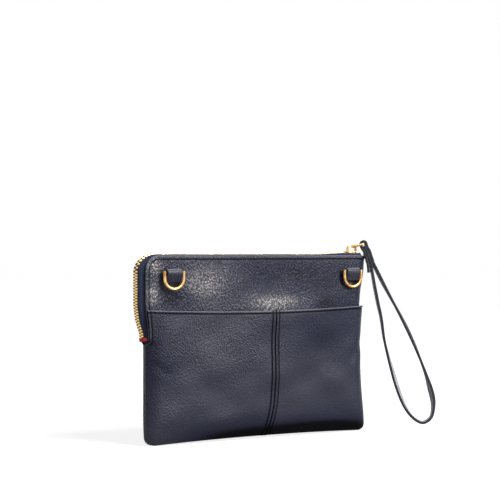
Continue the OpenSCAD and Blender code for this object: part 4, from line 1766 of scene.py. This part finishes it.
@dataclass
class Zip:
    """Woven tapes, meshed teeth, stops, the bar tack and the end tab.

    A tape's profile is its heights under the panel's edge, then shares of its width and of its rise: up to
    0.5 it rises to the chain, and past 0.5 onto a soft ridge.
    """

    form: BodyForm
    finishes: Finishes
    fold: Fold
    route: ZipRoute
    slider_x: float
    slider_len: float
    pitch: float = 2.43
    tooth: float = 1.4
    thick: float = 2.1
    half: float = 3.5
    neck: float = 0.3
    reach: float = 0.8
    tooth_bevel: float = 0.2
    head_dark: float = 0.7
    head_run: float = 0.7
    root_run: Pair = (0.1, 0.9)
    teeth_in: float = 3.0
    head_share: Triple = (0.54, 1.0, 0.8)
    tape: float = 0.6
    cord: float = 1.3
    cord_halves: Triple = (0.36, 0.46, 0.46)
    ridge: float = 0.6
    ridge_run: Pair = (4.0, 10.0)
    tape_gap: float = 0.3
    tape_steps: int = 260
    tail: float = 5.0
    hidden: Path = ((-5.0, 0.0), (-2.5, 0.0), (-0.8, 0.0), (0.35, 0.03))
    shown: Path = (
        (0.16, 0.42), (0.3, 0.78), (0.4, 1.0), (0.48, 1.0), (0.56, 0.9), (0.66, 0.62), (0.78, 0.5), (0.9, 0.5),
        (1.0, 0.5),
    )
    stop_len: float = 1.8
    stop_in: float = 0.3
    stop_y: float = 0.6
    stop_bevel: float = 0.35
    tab_flat: float = 0.55
    tab_drop: float = 0.3
    tab_end: float = 0.8
    tab_bevel: float = 0.3
    tab_gloss: float = 0.3
    tack_z: float = 91.6
    tack_slant: float = 2.0
    tack_threads: int = 6
    tack_step: float = 0.4
    tack_radius: float = 0.33
    tack_path: Path = (
        (-0.9, 5.4), (-1.9, 4.4), (-2.3, 2.6), (-2.5, 0.0), (-2.6, -3.0), (-2.4, -5.6), (-1.5, -7.4),
    )

    def tape_sheet(self, name: str, back: bool, *nodes: str) -> Piece:
        """Make one tape, from under the panel's edge over a soft ridge to the cord that the teeth grip.

        Args:
            name: name of the piece.
            back: true for the back.
            *nodes: solids that it stands for.

        Returns:
            The tape.
        """
        f, r = self.form, self.route
        s = np.linspace(0.0, r.end + self.tail, self.tape_steps)
        base = np.minimum(f.leather + 2 * f.gap - r.half_width(s), -self.cord - self.tape_gap)
        ridge = self.ridge * (1 - smooth(r.turn(s))) * smooth((s - self.ridge_run[0]) / self.ridge_run[1])
        rises = [(0 * s + height, across) for height, across in self.hidden]
        for across, up in self.shown:
            rises.append((min(up / 0.5, 1.0) * r.chain(s) + max(up - 0.5, 0.0) * 2 * ridge, across))
        line = [np.stack([rise, mix(base, -self.cord, across)], -1) for rise, across in rises]
        profile = np.stack(line, 1)
        run = np.gradient(profile, axis=1)
        normal = unit(np.stack([run[..., 1], -run[..., 0]], -1))
        half = np.full(len(line), self.tape / 2)
        half[-3:] = self.cord_halves
        faces = []
        for sign in (1, -1):
            flat = profile + sign * half[:, None] * normal
            lifted = r.point(s)[:, None] + flat[..., :1] * r.out(s)[:, None]
            faces.append(lifted + flat[..., 1:] * np.array([0.0, 1.0, 0.0]))
        obj = shell(name, *faces, {}, back)
        face_outward(obj)
        cut_size(faces[0])[::-1]
        return dress(obj, [self.finishes.tape], Slot.TAPE, *nodes)

    def tooth_shape(self) -> Template:
        """Model one tooth: a grip on the tape and a narrower head that meshes.

        Returns:
            The tooth.
        """
        bpy.ops.object.select_all(action="DESELECT")
        bpy.ops.mesh.primitive_cube_add(size=MM)
        obj = bpy.context.view_layer.objects.active
        edit(obj)
        grip = self.half - self.neck
        bpy.ops.transform.resize(value=(self.tooth, grip, self.thick), center_override=(0, 0, 0))
        bpy.ops.transform.translate(value=(0, -(self.neck + grip / 2) * MM, 0))
        leave_edit()
        for face in obj.data.polygons:
            face.select = face.normal.y > 0.9
        bpy.ops.object.mode_set(mode="EDIT")
        bpy.ops.mesh.select_mode(type="FACE")
        ahead = (0, (self.neck + self.reach) * MM, 0)
        bpy.ops.mesh.extrude_region_move(TRANSFORM_OT_translate={"value": ahead})
        bpy.ops.transform.resize(value=self.head_share)
        leave_edit()
        apply_bevel(obj, self.tooth_bevel, 2)
        return Template.take(obj)

    def teeth(self, tooth: Template, name: str, back: bool, *nodes: str) -> Piece:
        """Copy the tooth along one row, with painted shade on its head and its root.

        Args:
            tooth: the tooth.
            name: name of the piece.
            back: true for the back row, which stands half a pitch on.
            *nodes: solids that it stands for.

        Returns:
            The row.
        """
        r = self.route
        first = r.start_x - self.slider_x + self.slider_len / 2 - self.teeth_in
        count = int((r.end - first) / self.pitch)
        s = first + (np.arange(count) + (0.5 if back else 0.0)) * self.pitch
        out = r.out(s)
        way = np.array([0.0, -1.0 if back else 1.0, 0.0])
        origin = r.point(s) + r.chain(s)[:, None] * out
        obj = tooth.copies(name, [Place(o, np.cross(way, n), way, n) for o, n in zip(origin, out)])
        # Painted shade on each tooth's recessed head and on its root.
        head = self.head_dark * smooth((tooth.points[:, 1] + self.head_run) / self.head_run)
        root = smooth((self.root_run[0] - tooth.points[:, 2]) / self.root_run[1])
        set_mark(obj, PAINTED_SHADE, np.tile(np.maximum(head, root), count))
        return dress(obj, [self.finishes.teeth], Slot.GOLD, *nodes)

    def stops(self) -> Piece:
        """Make the two top stops at the closed end.

        Returns:
            The stops.
        """
        z = self.form.height + self.route.end_rise - self.thick / 2
        end = self.route.start_x - self.stop_in
        start = end - self.stop_len
        parts = []
        for side in (-1, 1):
            near_y, far_y = side * self.stop_y, side * self.half
            outline = np.array([[start, near_y, z], [end, near_y, z], [end, far_y, z], [start, far_y, z]])
            parts.append(extruded(f"stop{side}", outline, (0, 0, self.thick), self.stop_bevel))
        return dress(joined("top_stops", parts), [self.finishes.teeth], Slot.GOLD, "zip_top_stops")

    def bar_tack(self) -> Piece:
        """Make the bar tack: close threads from the chain over the front panel's edge.

        Returns:
            The threads.
        """
        side = self.form.left_draw(np.array(self.tack_z)) - self.form.half
        line = spline(np.array(self.tack_path), 5)
        share = run_of(line) / run_of(line)[-1]
        threads = []
        for k in range(self.tack_threads):
            z = self.tack_z + self.tack_slant * share + self.tack_step * (k - self.tack_threads / 2)
            trim = slice(k % 2, len(line) - (k + 1) % 2)
            points = np.column_stack([side + line[:, 0], line[:, 1], z])[trim]
            threads.append(wire(f"tack{k}", points, self.tack_radius, False))
        obj = joined("bar_tack_threads", threads)
        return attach(dress(obj, [self.finishes.red], Slot.RED, "zip_bar_tack"), Body.BAG.value)

    def end_tab(self) -> Piece:
        """Make the leather tab over the closed end.

        Returns:
            The tab.
        """
        low, high = corners("zip_end_tab")
        x = [low[0], low[0], mix(low[0], high[0], self.tab_flat), high[0], high[0]]
        z = [low[2], high[2], high[2] - self.tab_drop, low[2] + self.tab_end, low[2]]
        outline = np.stack([x, np.full(5, low[1]), z], -1)
        obj = extruded("end_tab_leather", outline, (0, high[1] - low[1], 0), self.tab_bevel)
        set_mark(obj, GLOSS_AND_PAINTED_LIGHT, self.tab_gloss)
        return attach(dress(obj, [self.finishes.trim], Slot.LEATHER_DARK, "zip_end_tab"), Body.BAG.value)

    def build(self) -> list[Piece]:
        """Make the whole zip but its slider.

        Returns:
            The pieces.
        """
        front_tape = self.tape_sheet("front_tape", False, "zip_tape_front", "zip_tape_flap")
        back_tape = self.tape_sheet("back_tape", True, "zip_tape_back")
        tooth = self.tooth_shape()
        front_teeth = self.teeth(tooth, "front_teeth", False, "zip_teeth_front", "zip_teeth_flap")
        back_teeth = self.teeth(tooth, "back_teeth", True, "zip_teeth_back")
        stops = self.stops()
        for metal in (front_teeth, back_teeth, stops):
            smooth_shade(metal, 40.0)
        for piece in (front_tape, front_teeth):
            self.fold.bend(piece)
        for piece in (back_tape, back_teeth, stops):
            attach(piece, Body.BAG.value)
        return [front_tape, back_tape, front_teeth, back_teeth, stops, self.bar_tack(), self.end_tab()]


@dataclass
class Slider:
    """Zip slider with its bridge and the ring that hangs in it."""

    finishes: Finishes
    pull: Array
    bar: Array
    plate: float = 1.0
    under_drop: float = 0.55
    under_share: float = 0.68
    nose: float = 2.0
    tail: float = 4.2
    chamfer: float = 0.5
    lip: float = 0.6
    lip_drop: float = 0.8
    lip_tall: float = 1.2
    lip_in: float = 0.3
    neck: Path = ((-0.2, -0.4), (1.0, -0.25), (1.0, 0.25), (-0.2, 0.4))
    bevels: Triple = (0.32, 0.25, 0.1)
    lip_bevel: float = 0.15
    bridge_thick: float = 1.0
    bridge_bevel: float = 0.28
    bridge_square: Pair = (0.8, 0.7)
    ring_wire: float = 1.0
    ring_half: float = 5.4
    ring_corner: float = 1.6

    def body(self) -> Piece:
        """Make the slider's plates, side lips and neck.

        Returns:
            The slider.
        """
        low, high = corners("slider_body")
        x, half_len, wide = (low[0] + high[0]) / 2, (high[0] - low[0]) / 2, (high[1] - low[1]) / 2
        floor, nose, tail, cut = low[2] - self.under_drop, self.nose, self.tail, self.chamfer
        side = [(-half_len, -tail + cut), (-half_len + cut, -tail), (0, -tail), (half_len - nose, -wide)]
        side.append((half_len, -wide + nose))
        flat = np.array(side + [(a, -b) for a, b in side[::-1]])
        neck = np.array(self.neck) + [half_len - nose, 0.0]
        top_bevel, under_bevel, neck_bevel = self.bevels

        def slab(name: str, outline: Array, z: float, tall: float, bevel: float) -> Piece:
            """A flat outline about the slider's middle, extruded upward."""
            points = np.column_stack([outline[:, 0] + x, outline[:, 1], np.full(len(outline), z)])
            return extruded(name, points, (0, 0, tall), bevel)

        parts = [
            slab("slider_top", flat, high[2] - self.plate, self.plate, top_bevel),
            slab("slider_under", flat * [1.0, self.under_share], floor, self.plate, under_bevel),
            slab("slider_neck", neck, floor + 0.5 * self.plate, high[2] - floor - self.plate, neck_bevel),
        ]
        for sign in (-1, 1):
            y = sign * np.array([tail - self.lip, tail, tail, tail - self.lip])
            lip = np.column_stack([[self.lip_in - half_len] * 2 + [0.0] * 2, y])
            z = high[2] - self.plate - self.lip_drop
            parts.append(slab(f"slider_lip{sign}", lip, z, self.lip_tall, self.lip_bevel))
        return joined("slider_plates", parts)

    def bridge(self) -> Piece:
        """Make the arched bridge.

        Returns:
            The bridge.
        """
        low, high = corners("slider_bridge")
        mid, half_len, tall = (low[0] + high[0]) / 2, (high[0] - low[0]) / 2, high[2] - low[2]
        turn = np.linspace(0, np.pi, 21)
        outline = []
        for inset, angles in ((0.0, turn), (self.bridge_thick, turn[::-1])):
            across = np.sign(np.cos(angles)) * np.abs(np.cos(angles)) ** self.bridge_square[0]
            up = np.maximum(np.sin(angles), 0.0) ** self.bridge_square[1]
            outline.append(np.column_stack([(half_len - inset) * across, (tall - inset) * up]))
        flat = np.vstack(outline)
        points = np.column_stack([flat[:, 0] + mid, np.full(len(flat), low[1]), flat[:, 1] + low[2]])
        return extruded("slider_arch", points, (0, high[1] - low[1], 0), self.bridge_bevel)

    def ring(self) -> Piece:
        """Make the pull ring: a rounded frame of wire between the bridge and the strap.

        Returns:
            The ring.
        """
        length = float(np.linalg.norm(self.bar - self.pull))
        ahead = (self.bar - self.pull) / length
        across = unit(np.array([-ahead[1], ahead[0], 0.0]))
        r = self.ring_corner
        far, side = length - r, self.ring_half - r
        centres = ((far, side), (r, side), (r, -side), (far, -side))
        flat = np.vstack([arc(c, r, 90 * k, 90 * k + 90, 9) for k, c in enumerate(centres)])
        return wire("pull_wire", self.pull + flat[:, :1] * ahead + flat[:, 1:] * across, self.ring_wire)

    def build(self) -> list[Piece]:
        """Make the slider and its ring.

        Returns:
            The pieces.
        """
        pieces = [self.body(), self.bridge(), self.ring()]
        nodes = ("slider_body", "slider_bridge", "pull_ring")
        for obj, node, owner in zip(pieces, nodes, (Body.SLIDER, Body.SLIDER, Body.PULL)):
            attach(dress(obj, [self.finishes.gold], Slot.GOLD, node), owner.value)
        return pieces


@dataclass
class WristStrap:
    """One leather strip that hangs as a loop and folds over the pull ring's far bar.

    The loop is given as shares of its reach and its drop; a turn is its place, its spread and its angle.
    """

    finishes: Finishes
    stitching: Stitching
    bar: Array
    turn: float
    width: float = 7.6
    thickness: float = 2.45
    rounding: float = 0.3
    reach: float = 66.0
    ground: float = 6.0
    bar_radius: float = 1.0
    gap: float = 0.3
    sewn: tuple[float, ...] = (0.0, 0.34, 0.67, 1.0)
    inner_end: Pair = (0.35, -1.75)
    rise: Path = ((1.3, -3.6), (0.5, -1.6))
    fall: Path = ((0.2, -1.8), (1.2, -4.2))
    tail: Pair = (1.35, 1.62)
    tail_in: Path = ((0.2, 0.0), (0.7, 0.0))
    stack_top: Pair = (3.2, -7.0)
    stack_low: Pair = (6.9, -19.0)
    stack_out: Pair = (0.98, 0.2)
    seam_in: float = 1.3
    gloss: float = 0.35
    turns: tuple[Triple, ...] = (
        (0.12, 0.07, -6.0), (0.33, 0.075, 24.0), (0.53, 0.035, 26.0), (0.68, 0.07, -14.0), (0.83, 0.05, 10.0),
        (1.0, 0.02, 30.0),
    )
    loop: Path = (
        (0.135, 0.185), (0.165, 0.25), (0.205, 0.33), (0.255, 0.42), (0.30, 0.54), (0.385, 0.67), (0.50, 0.82),
        (0.60, 0.915), (0.72, 0.975), (0.85, 1.0), (0.965, 0.972), (1.0, 0.915), (0.985, 0.85), (0.90, 0.735),
        (0.79, 0.62), (0.67, 0.51), (0.53, 0.40), (0.39, 0.30), (0.28, 0.22), (0.21, 0.165),
    )

    def stack(self, shares: Sequence[float], side: int) -> Array:
        """Points down one of the three sewn layers.

        Args:
            shares: shares of the way down.
            side: 1 in front, 0 in the middle, -1 behind.

        Returns:
            The points.
        """
        down = np.array(shares)[:, None]
        middle = mix(np.array(self.stack_top), np.array(self.stack_low), down)
        return middle + side * self.thickness * np.array(self.stack_out)

    def route(self) -> Array:
        """Lay out the middle line of the strip in its own upright plane.

        Returns:
            The points of the line.
        """
        drop = self.bar[2] - self.ground - self.thickness / 2
        r = self.bar_radius + self.gap + self.thickness / 2
        stretches = [
            [self.inner_end],
            self.stack(self.sewn, 0),
            np.array(self.loop) * [self.reach, -drop],
            self.stack(self.sewn[::-1], 1),
            np.array(self.rise) + [r, 0.0],
            arc((0.0, 0.0), r, 0, 180, 5),
            np.array(self.fall) - [r, 0.0],
            self.stack(self.sewn, -1),
            self.stack(self.tail, -1) - self.tail_in,
        ]
        return spline(np.vstack(stretches), 7)

    def build(self) -> list[Piece]:
        """Make the strap and its stitches; it turns about its line, so that its flesh side shows low.

        Returns:
            The pieces.
        """
        ahead = np.array([math.cos(self.turn), -math.sin(self.turn), 0.0])
        side = np.array([math.sin(self.turn), math.cos(self.turn), 0.0])
        up = np.array([0.0, 0.0, 1.0])
        flat = self.route()
        line = self.bar + flat[:, :1] * ahead + flat[:, 1:] * up
        run = np.gradient(flat, axis=0)
        normal = unit(-run[:, 1:] * ahead + run[:, :1] * up)
        share = run_of(line) / run_of(line)[-1]
        turned = sum(math.radians(angle) * bell(share - at, spread) for at, spread, angle in self.turns)
        turned = turned[:, None]
        across = side * np.cos(turned) + normal * np.sin(turned)
        facing = normal * np.cos(turned) - side * np.sin(turned)
        strip = Ribbon(self.width, self.thickness, self.rounding)
        obj = strip.sweep("wrist_strap_leather", line, facing, across)
        set_mark(obj, GLOSS_AND_PAINTED_LIGHT, self.gloss)
        made = self.finishes
        dress(obj, [made.suede, made.trim, made.edge], Slot.LEATHER_DARK, "wrist_strap")
        lift = (self.thickness / 2 + ON_TOP) * np.array(self.stack_out)
        out = self.stack_out[0] * ahead + self.stack_out[1] * up
        rows = []
        for layer in (1, -1):
            row = self.stack(np.linspace(0.05, 0.95, 12), layer) + layer * lift
            at = self.bar + row[:, :1] * ahead + row[:, 1:] * up
            for edge in (-1, 1):
                sewn_at = at + edge * (self.width / 2 - self.seam_in) * side
                rows.append((sewn_at, np.tile(layer * out, (len(at), 1))))
        sewn = self.stitching.sew("strap_stitches", rows, made.thread)
        for piece in (obj, sewn):
            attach(piece, Body.STRAP.value)
        return [obj, sewn]


@dataclass
class RingAndTab:
    """A D-ring and the folded leather tab that holds it."""

    finishes: Finishes
    stitching: Stitching
    side: str
    pivot: Array
    ring_body: Body
    tab_body: Body
    inner_width: float = 16.0
    wire: float = 1.4
    ring_wire: float = 1.55
    bar: float = 0.8
    straight: float = 5.0
    arm_top: float = 1.2
    arm_low: float = 1.5
    gap: float = 0.3
    tab_width: float = 15.0
    tab_thickness: float = 1.2
    tab_length: float = 9.0
    tab_close: float = 0.92
    layer_gap: float = 0.05
    # Painted highlight along the top of the tab's fold.
    rub_and_highlight: float = 0.9
    fold_highlight_over: float = 1.2
    fold_highlight_width: float = 0.7
    seam_in: float = 1.5
    gloss: float = 0.5
    grain: float = 0.5

    def ring(self) -> Piece:
        """Make the ring: two straight arms and a half round, and the thin bar between the arms.

        Returns:
            The ring.
        """
        arm, low = self.inner_width / 2 + self.wire, -self.straight
        right = np.array([(arm, self.arm_top), (arm, -self.arm_low), (arm, low + 0.5)])
        bow = np.vstack([right, arc((0.0, low), arm, 0, -180, 33), right[::-1] * [-1.0, 1.0]])
        rod = np.array([(-arm, 0.0), (0.0, 0.0), (arm, 0.0)])
        parts = []
        for name, flat, radius in (("arc", bow, self.ring_wire), ("bar", rod, self.bar)):
            place = self.pivot + np.column_stack([flat[:, 0], 0 * flat[:, 0], flat[:, 1]])
            parts.append(wire(f"{self.side}_{name}", place, radius, False, 5))
        return joined(f"{self.side}_d_ring", parts)

    def tab_line(self) -> Row:
        """Lay out the middle line of the folded tab.

        Returns:
            The line, and its unit vectors towards the bar.
        """
        r, low = self.wire + self.gap + self.tab_thickness / 2, -self.tab_length
        back = np.linspace(low, 0, 8)[:-1]
        t = np.linspace(0, 1, 12)[1:]
        front = mix(-r, r - self.tab_thickness - self.layer_gap, smooth(t * self.tab_close))
        behind = np.column_stack([np.full(len(back), r), back])
        flat = np.vstack([behind, arc((0.0, 0.0), r, 0, 180, 15), np.column_stack([front, low * t])])
        run = np.gradient(flat, axis=0)
        normal = unit(np.column_stack([0 * run[:, 0], -run[:, 1], run[:, 0]]))
        return self.pivot + np.column_stack([0 * flat[:, 0], flat]), normal

    def tab(self) -> Piece:
        """Make the tab, with a painted highlight over its fold.

        Returns:
            The tab.
        """
        line, facing = self.tab_line()
        across = np.tile([1.0, 0.0, 0.0], (len(line), 1))
        strip = Ribbon(self.tab_width, self.tab_thickness)
        obj = strip.sweep(f"{self.side}_tab_leather", line, facing, across)
        top = line[:, 2] - self.pivot[2] - self.wire - self.fold_highlight_over
        # Painted highlight over the fold, stored in the scuffing mark.
        rub_and_highlight = self.rub_and_highlight * bell(top, self.fold_highlight_width)
        set_mark(obj, WEAR_AND_PAINTED_HIGHLIGHT, np.repeat(rub_and_highlight, len(obj.data.vertices) // len(line)))
        set_mark(obj, GLOSS_AND_PAINTED_LIGHT, self.gloss)
        set_mark(obj, GRAIN, self.grain)
        return obj

    def tab_stitches(self) -> Piece:
        """Make the stitches across and beside the tab.

        Returns:
            The stitches.
        """
        line, facing = (values[-10:] for values in self.tab_line())
        out = -facing
        line = line + out * (self.tab_thickness / 2 + ON_TOP)
        reach = self.tab_width / 2 - self.seam_in
        rows = [(line + np.array([sign * reach, 0.0, 0.0]), out) for sign in (-1, 1)]
        x = np.linspace(-reach, reach, 10)
        rows.append((line[-2] + np.column_stack([x, 0 * x, 0 * x]), np.tile(out[-2], (len(x), 1))))
        return self.stitching.sew(f"{self.side}_tab_stitches", rows, self.finishes.thread)

    def build(self) -> list[Piece]:
        """Make the ring, the tab and its stitches.

        Returns:
            The pieces.
        """
        made = self.finishes
        ring, tab, sewn = self.ring(), self.tab(), self.tab_stitches()
        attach(dress(ring, [made.gold], Slot.GOLD, f"d_ring_{self.side}"), self.ring_body.value)
        dress(tab, [made.edge, made.trim, made.edge], Slot.LEATHER_DARK, f"d_ring_tab_{self.side}")
        for piece in (tab, sewn):
            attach(piece, self.tab_body.value)
        return [ring, tab, sewn]


# The studio


@dataclass(frozen=True)
class Lamp:
    """A soft rectangular light aimed at the object, in metres."""

    name: str
    place: Triple
    size: Pair
    power: float
    aim: Triple = (0.0, 0.0, 0.1)

    def build(self) -> None:
        """Make the lamp."""
        data = bpy.data.lights.new(self.name, "AREA")
        data.shape = "RECTANGLE"
        data.size, data.size_y = self.size
        data.energy = self.power
        obj = bpy.data.objects.new(self.name, data)
        obj.location = self.place
        way = Vector(self.aim) - Vector(self.place)
        obj.rotation_euler = way.to_track_quat("-Z", "Y").to_euler()
        bpy.context.scene.collection.objects.link(obj)


@dataclass
class Studio:
    """Pale floor, soft light and the camera at the photograph's angle."""

    yaw: float = 32.0
    distance: float = 1347.0
    sideways: float = 6.3
    height: float = 168.3
    pitch: float = -0.1
    focal_px: float = 1480.2
    frame_px: float = 500.0
    sensor: float = 36.0
    floor_size: float = 30.0
    floor_colour: float = 0.3
    floor_glow: float = 0.76
    far_glow: float = 0.95
    room_light: float = 0.15
    lamps: tuple[Lamp, ...] = (
        Lamp("sheen", (0.8, -1.45, 0.85), (0.6, 0.6), 34.0),
        Lamp("key", (0.15, -0.9, 1.4), (0.4, 0.3), 18.0),
        Lamp("front", (-0.9, -1.5, 1.1), (0.5, 0.5), 7.0),
        Lamp("behind", (0.3, 1.3, 1.2), (1.0, 0.6), 12.0),
    )

    def camera(self) -> None:
        """Make the camera."""
        data = bpy.data.cameras.new("camera")
        data.sensor_width = self.sensor
        data.lens = self.focal_px / self.frame_px * self.sensor
        data.clip_start, data.clip_end = 0.01, 50.0
        obj = bpy.data.objects.new("camera", data)
        a = math.radians(self.yaw)
        ahead, right = np.array([math.sin(a), math.cos(a), 0.0]), np.array([math.cos(a), -math.sin(a), 0.0])
        place = (-ahead * self.distance - right * self.sideways + np.array([0.0, 0.0, self.height])) * MM
        obj.location = tuple(place)
        obj.rotation_euler = (math.radians(90.0 - self.pitch), 0.0, -a)
        bpy.context.scene.collection.objects.link(obj)
        bpy.context.scene.camera = obj

    @staticmethod
    def seen(n: NodeTree, mirrored: Socket) -> Socket:
        """Share that is 1 for rays that show the background.

        Args:
            n: nodes of the floor or the room.
            mirrored: share of the background that reflections see.

        Returns:
            The share.
        """
        path = n.add("LightPath").outputs
        glossy = n.math("MULTIPLY", path["Is Glossy Ray"], mirrored)
        direct = n.math("MAXIMUM", path["Is Camera Ray"], glossy)
        return n.math("MAXIMUM", direct, path["Is Transmission Ray"])

    def floor(self) -> None:
        """Make the floor, white to the camera but for the object's shadow."""
        bpy.ops.object.select_all(action="DESELECT")
        bpy.ops.mesh.primitive_plane_add(size=self.floor_size)
        obj = bpy.context.view_layer.objects.active
        obj.name = "floor"
        n = NodeTree.material("floor_white")
        n.tree.nodes.clear()
        away = n.vector("LENGTH", {0: n.place()}, "Value")
        glow = n.span(away, 0.2, 0.8, self.floor_glow, self.far_glow)
        strength = n.math("MULTIPLY", self.seen(n, n.span(away, 0.1, 0.6)), glow)
        diffuse = n.add("BsdfDiffuse", {"Color": (self.floor_colour,) * 3})
        light = n.add("Emission", {"Strength": strength})
        total = n.add("AddShader", {0: diffuse.outputs[0], 1: light.outputs[0]})
        n.add("OutputMaterial", {"Surface": total.outputs[0]})
        obj.data.materials.append(n.owner)

    def room(self) -> None:
        """Light the room evenly, and show it white to the camera and to reflections of what is behind."""
        n = NodeTree(bpy.data.worlds.new("room"))
        axes = n.add("SeparateXYZ", {0: n.place("Generated")}).outputs
        shown = self.seen(n, n.span(axes["Y"], -0.1, 0.4))
        background = n.tree.nodes["Background"].inputs
        n.feed(background["Color"], (1.0, 1.0, 1.0))
        n.feed(background["Strength"], n.span(shown, 0.0, 1.0, self.room_light, 1.0, "LINEAR"))
        bpy.context.scene.world = n.owner

    def build(self) -> None:
        """Set up the studio."""
        self.camera()
        self.floor()
        self.room()
        for lamp in self.lamps:
            lamp.build()
        bpy.context.scene.view_settings.view_transform = "Standard"


def main() -> None:
    """Build the wallet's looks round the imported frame."""
    logging.basicConfig(level=logging.INFO, format="%(name)s: %(message)s")
    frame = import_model()
    joints = {joint["name"]: joint for joint in frame["joints"]}

    def pivot(name: str) -> Array:
        """Pivot of a hinge, in millimetres."""
        return np.array(joints[name]["pos_m"]) / MM

    Studio().build()
    made, stitching = Finishes(), Stitching()
    low, high = corners("back_panel")
    form = BodyForm(width=float(high[0] - low[0]), height=float(high[2]))
    fold = Fold(pivot("mouth_fold"), np.array(joints["mouth_fold"]["axis"]))
    pocket_end = corners("pocket_left")[1]
    seam_x = float((pocket_end[0] + corners("pocket_right")[0][0]) / 2)
    start, end = (float(corner[0]) for corner in corners("slider_body"))
    pull, bar = pivot("pull_flip"), pivot("strap_swing")
    turn = math.atan2(pull[1] - bar[1], bar[0] - pull[0])
    left, right = pivot("left_ring_swing"), pivot("right_ring_swing")
    assemblies = [
        Panels(form, made, fold, stitching),
        Pockets(form, made, stitching, seam_x, float(pocket_end[2])),
        Lining(form, made, fold),
        Zip(form, made, fold, ZipRoute(form), (start + end) / 2, end - start),
        Slider(made, pull, bar),
        WristStrap(made, stitching, bar, turn),
        RingAndTab(made, stitching, "left", left, Body.LEFT_RING, Body.FLAP),
        RingAndTab(made, stitching, "right", right, Body.RIGHT_RING, Body.BAG),
    ]
    for assembly in assemblies:
        for piece in assembly.build():
            log.info("%s: %d faces", piece.name, len(piece.data.polygons))


if __name__ == "__main__":
    main()
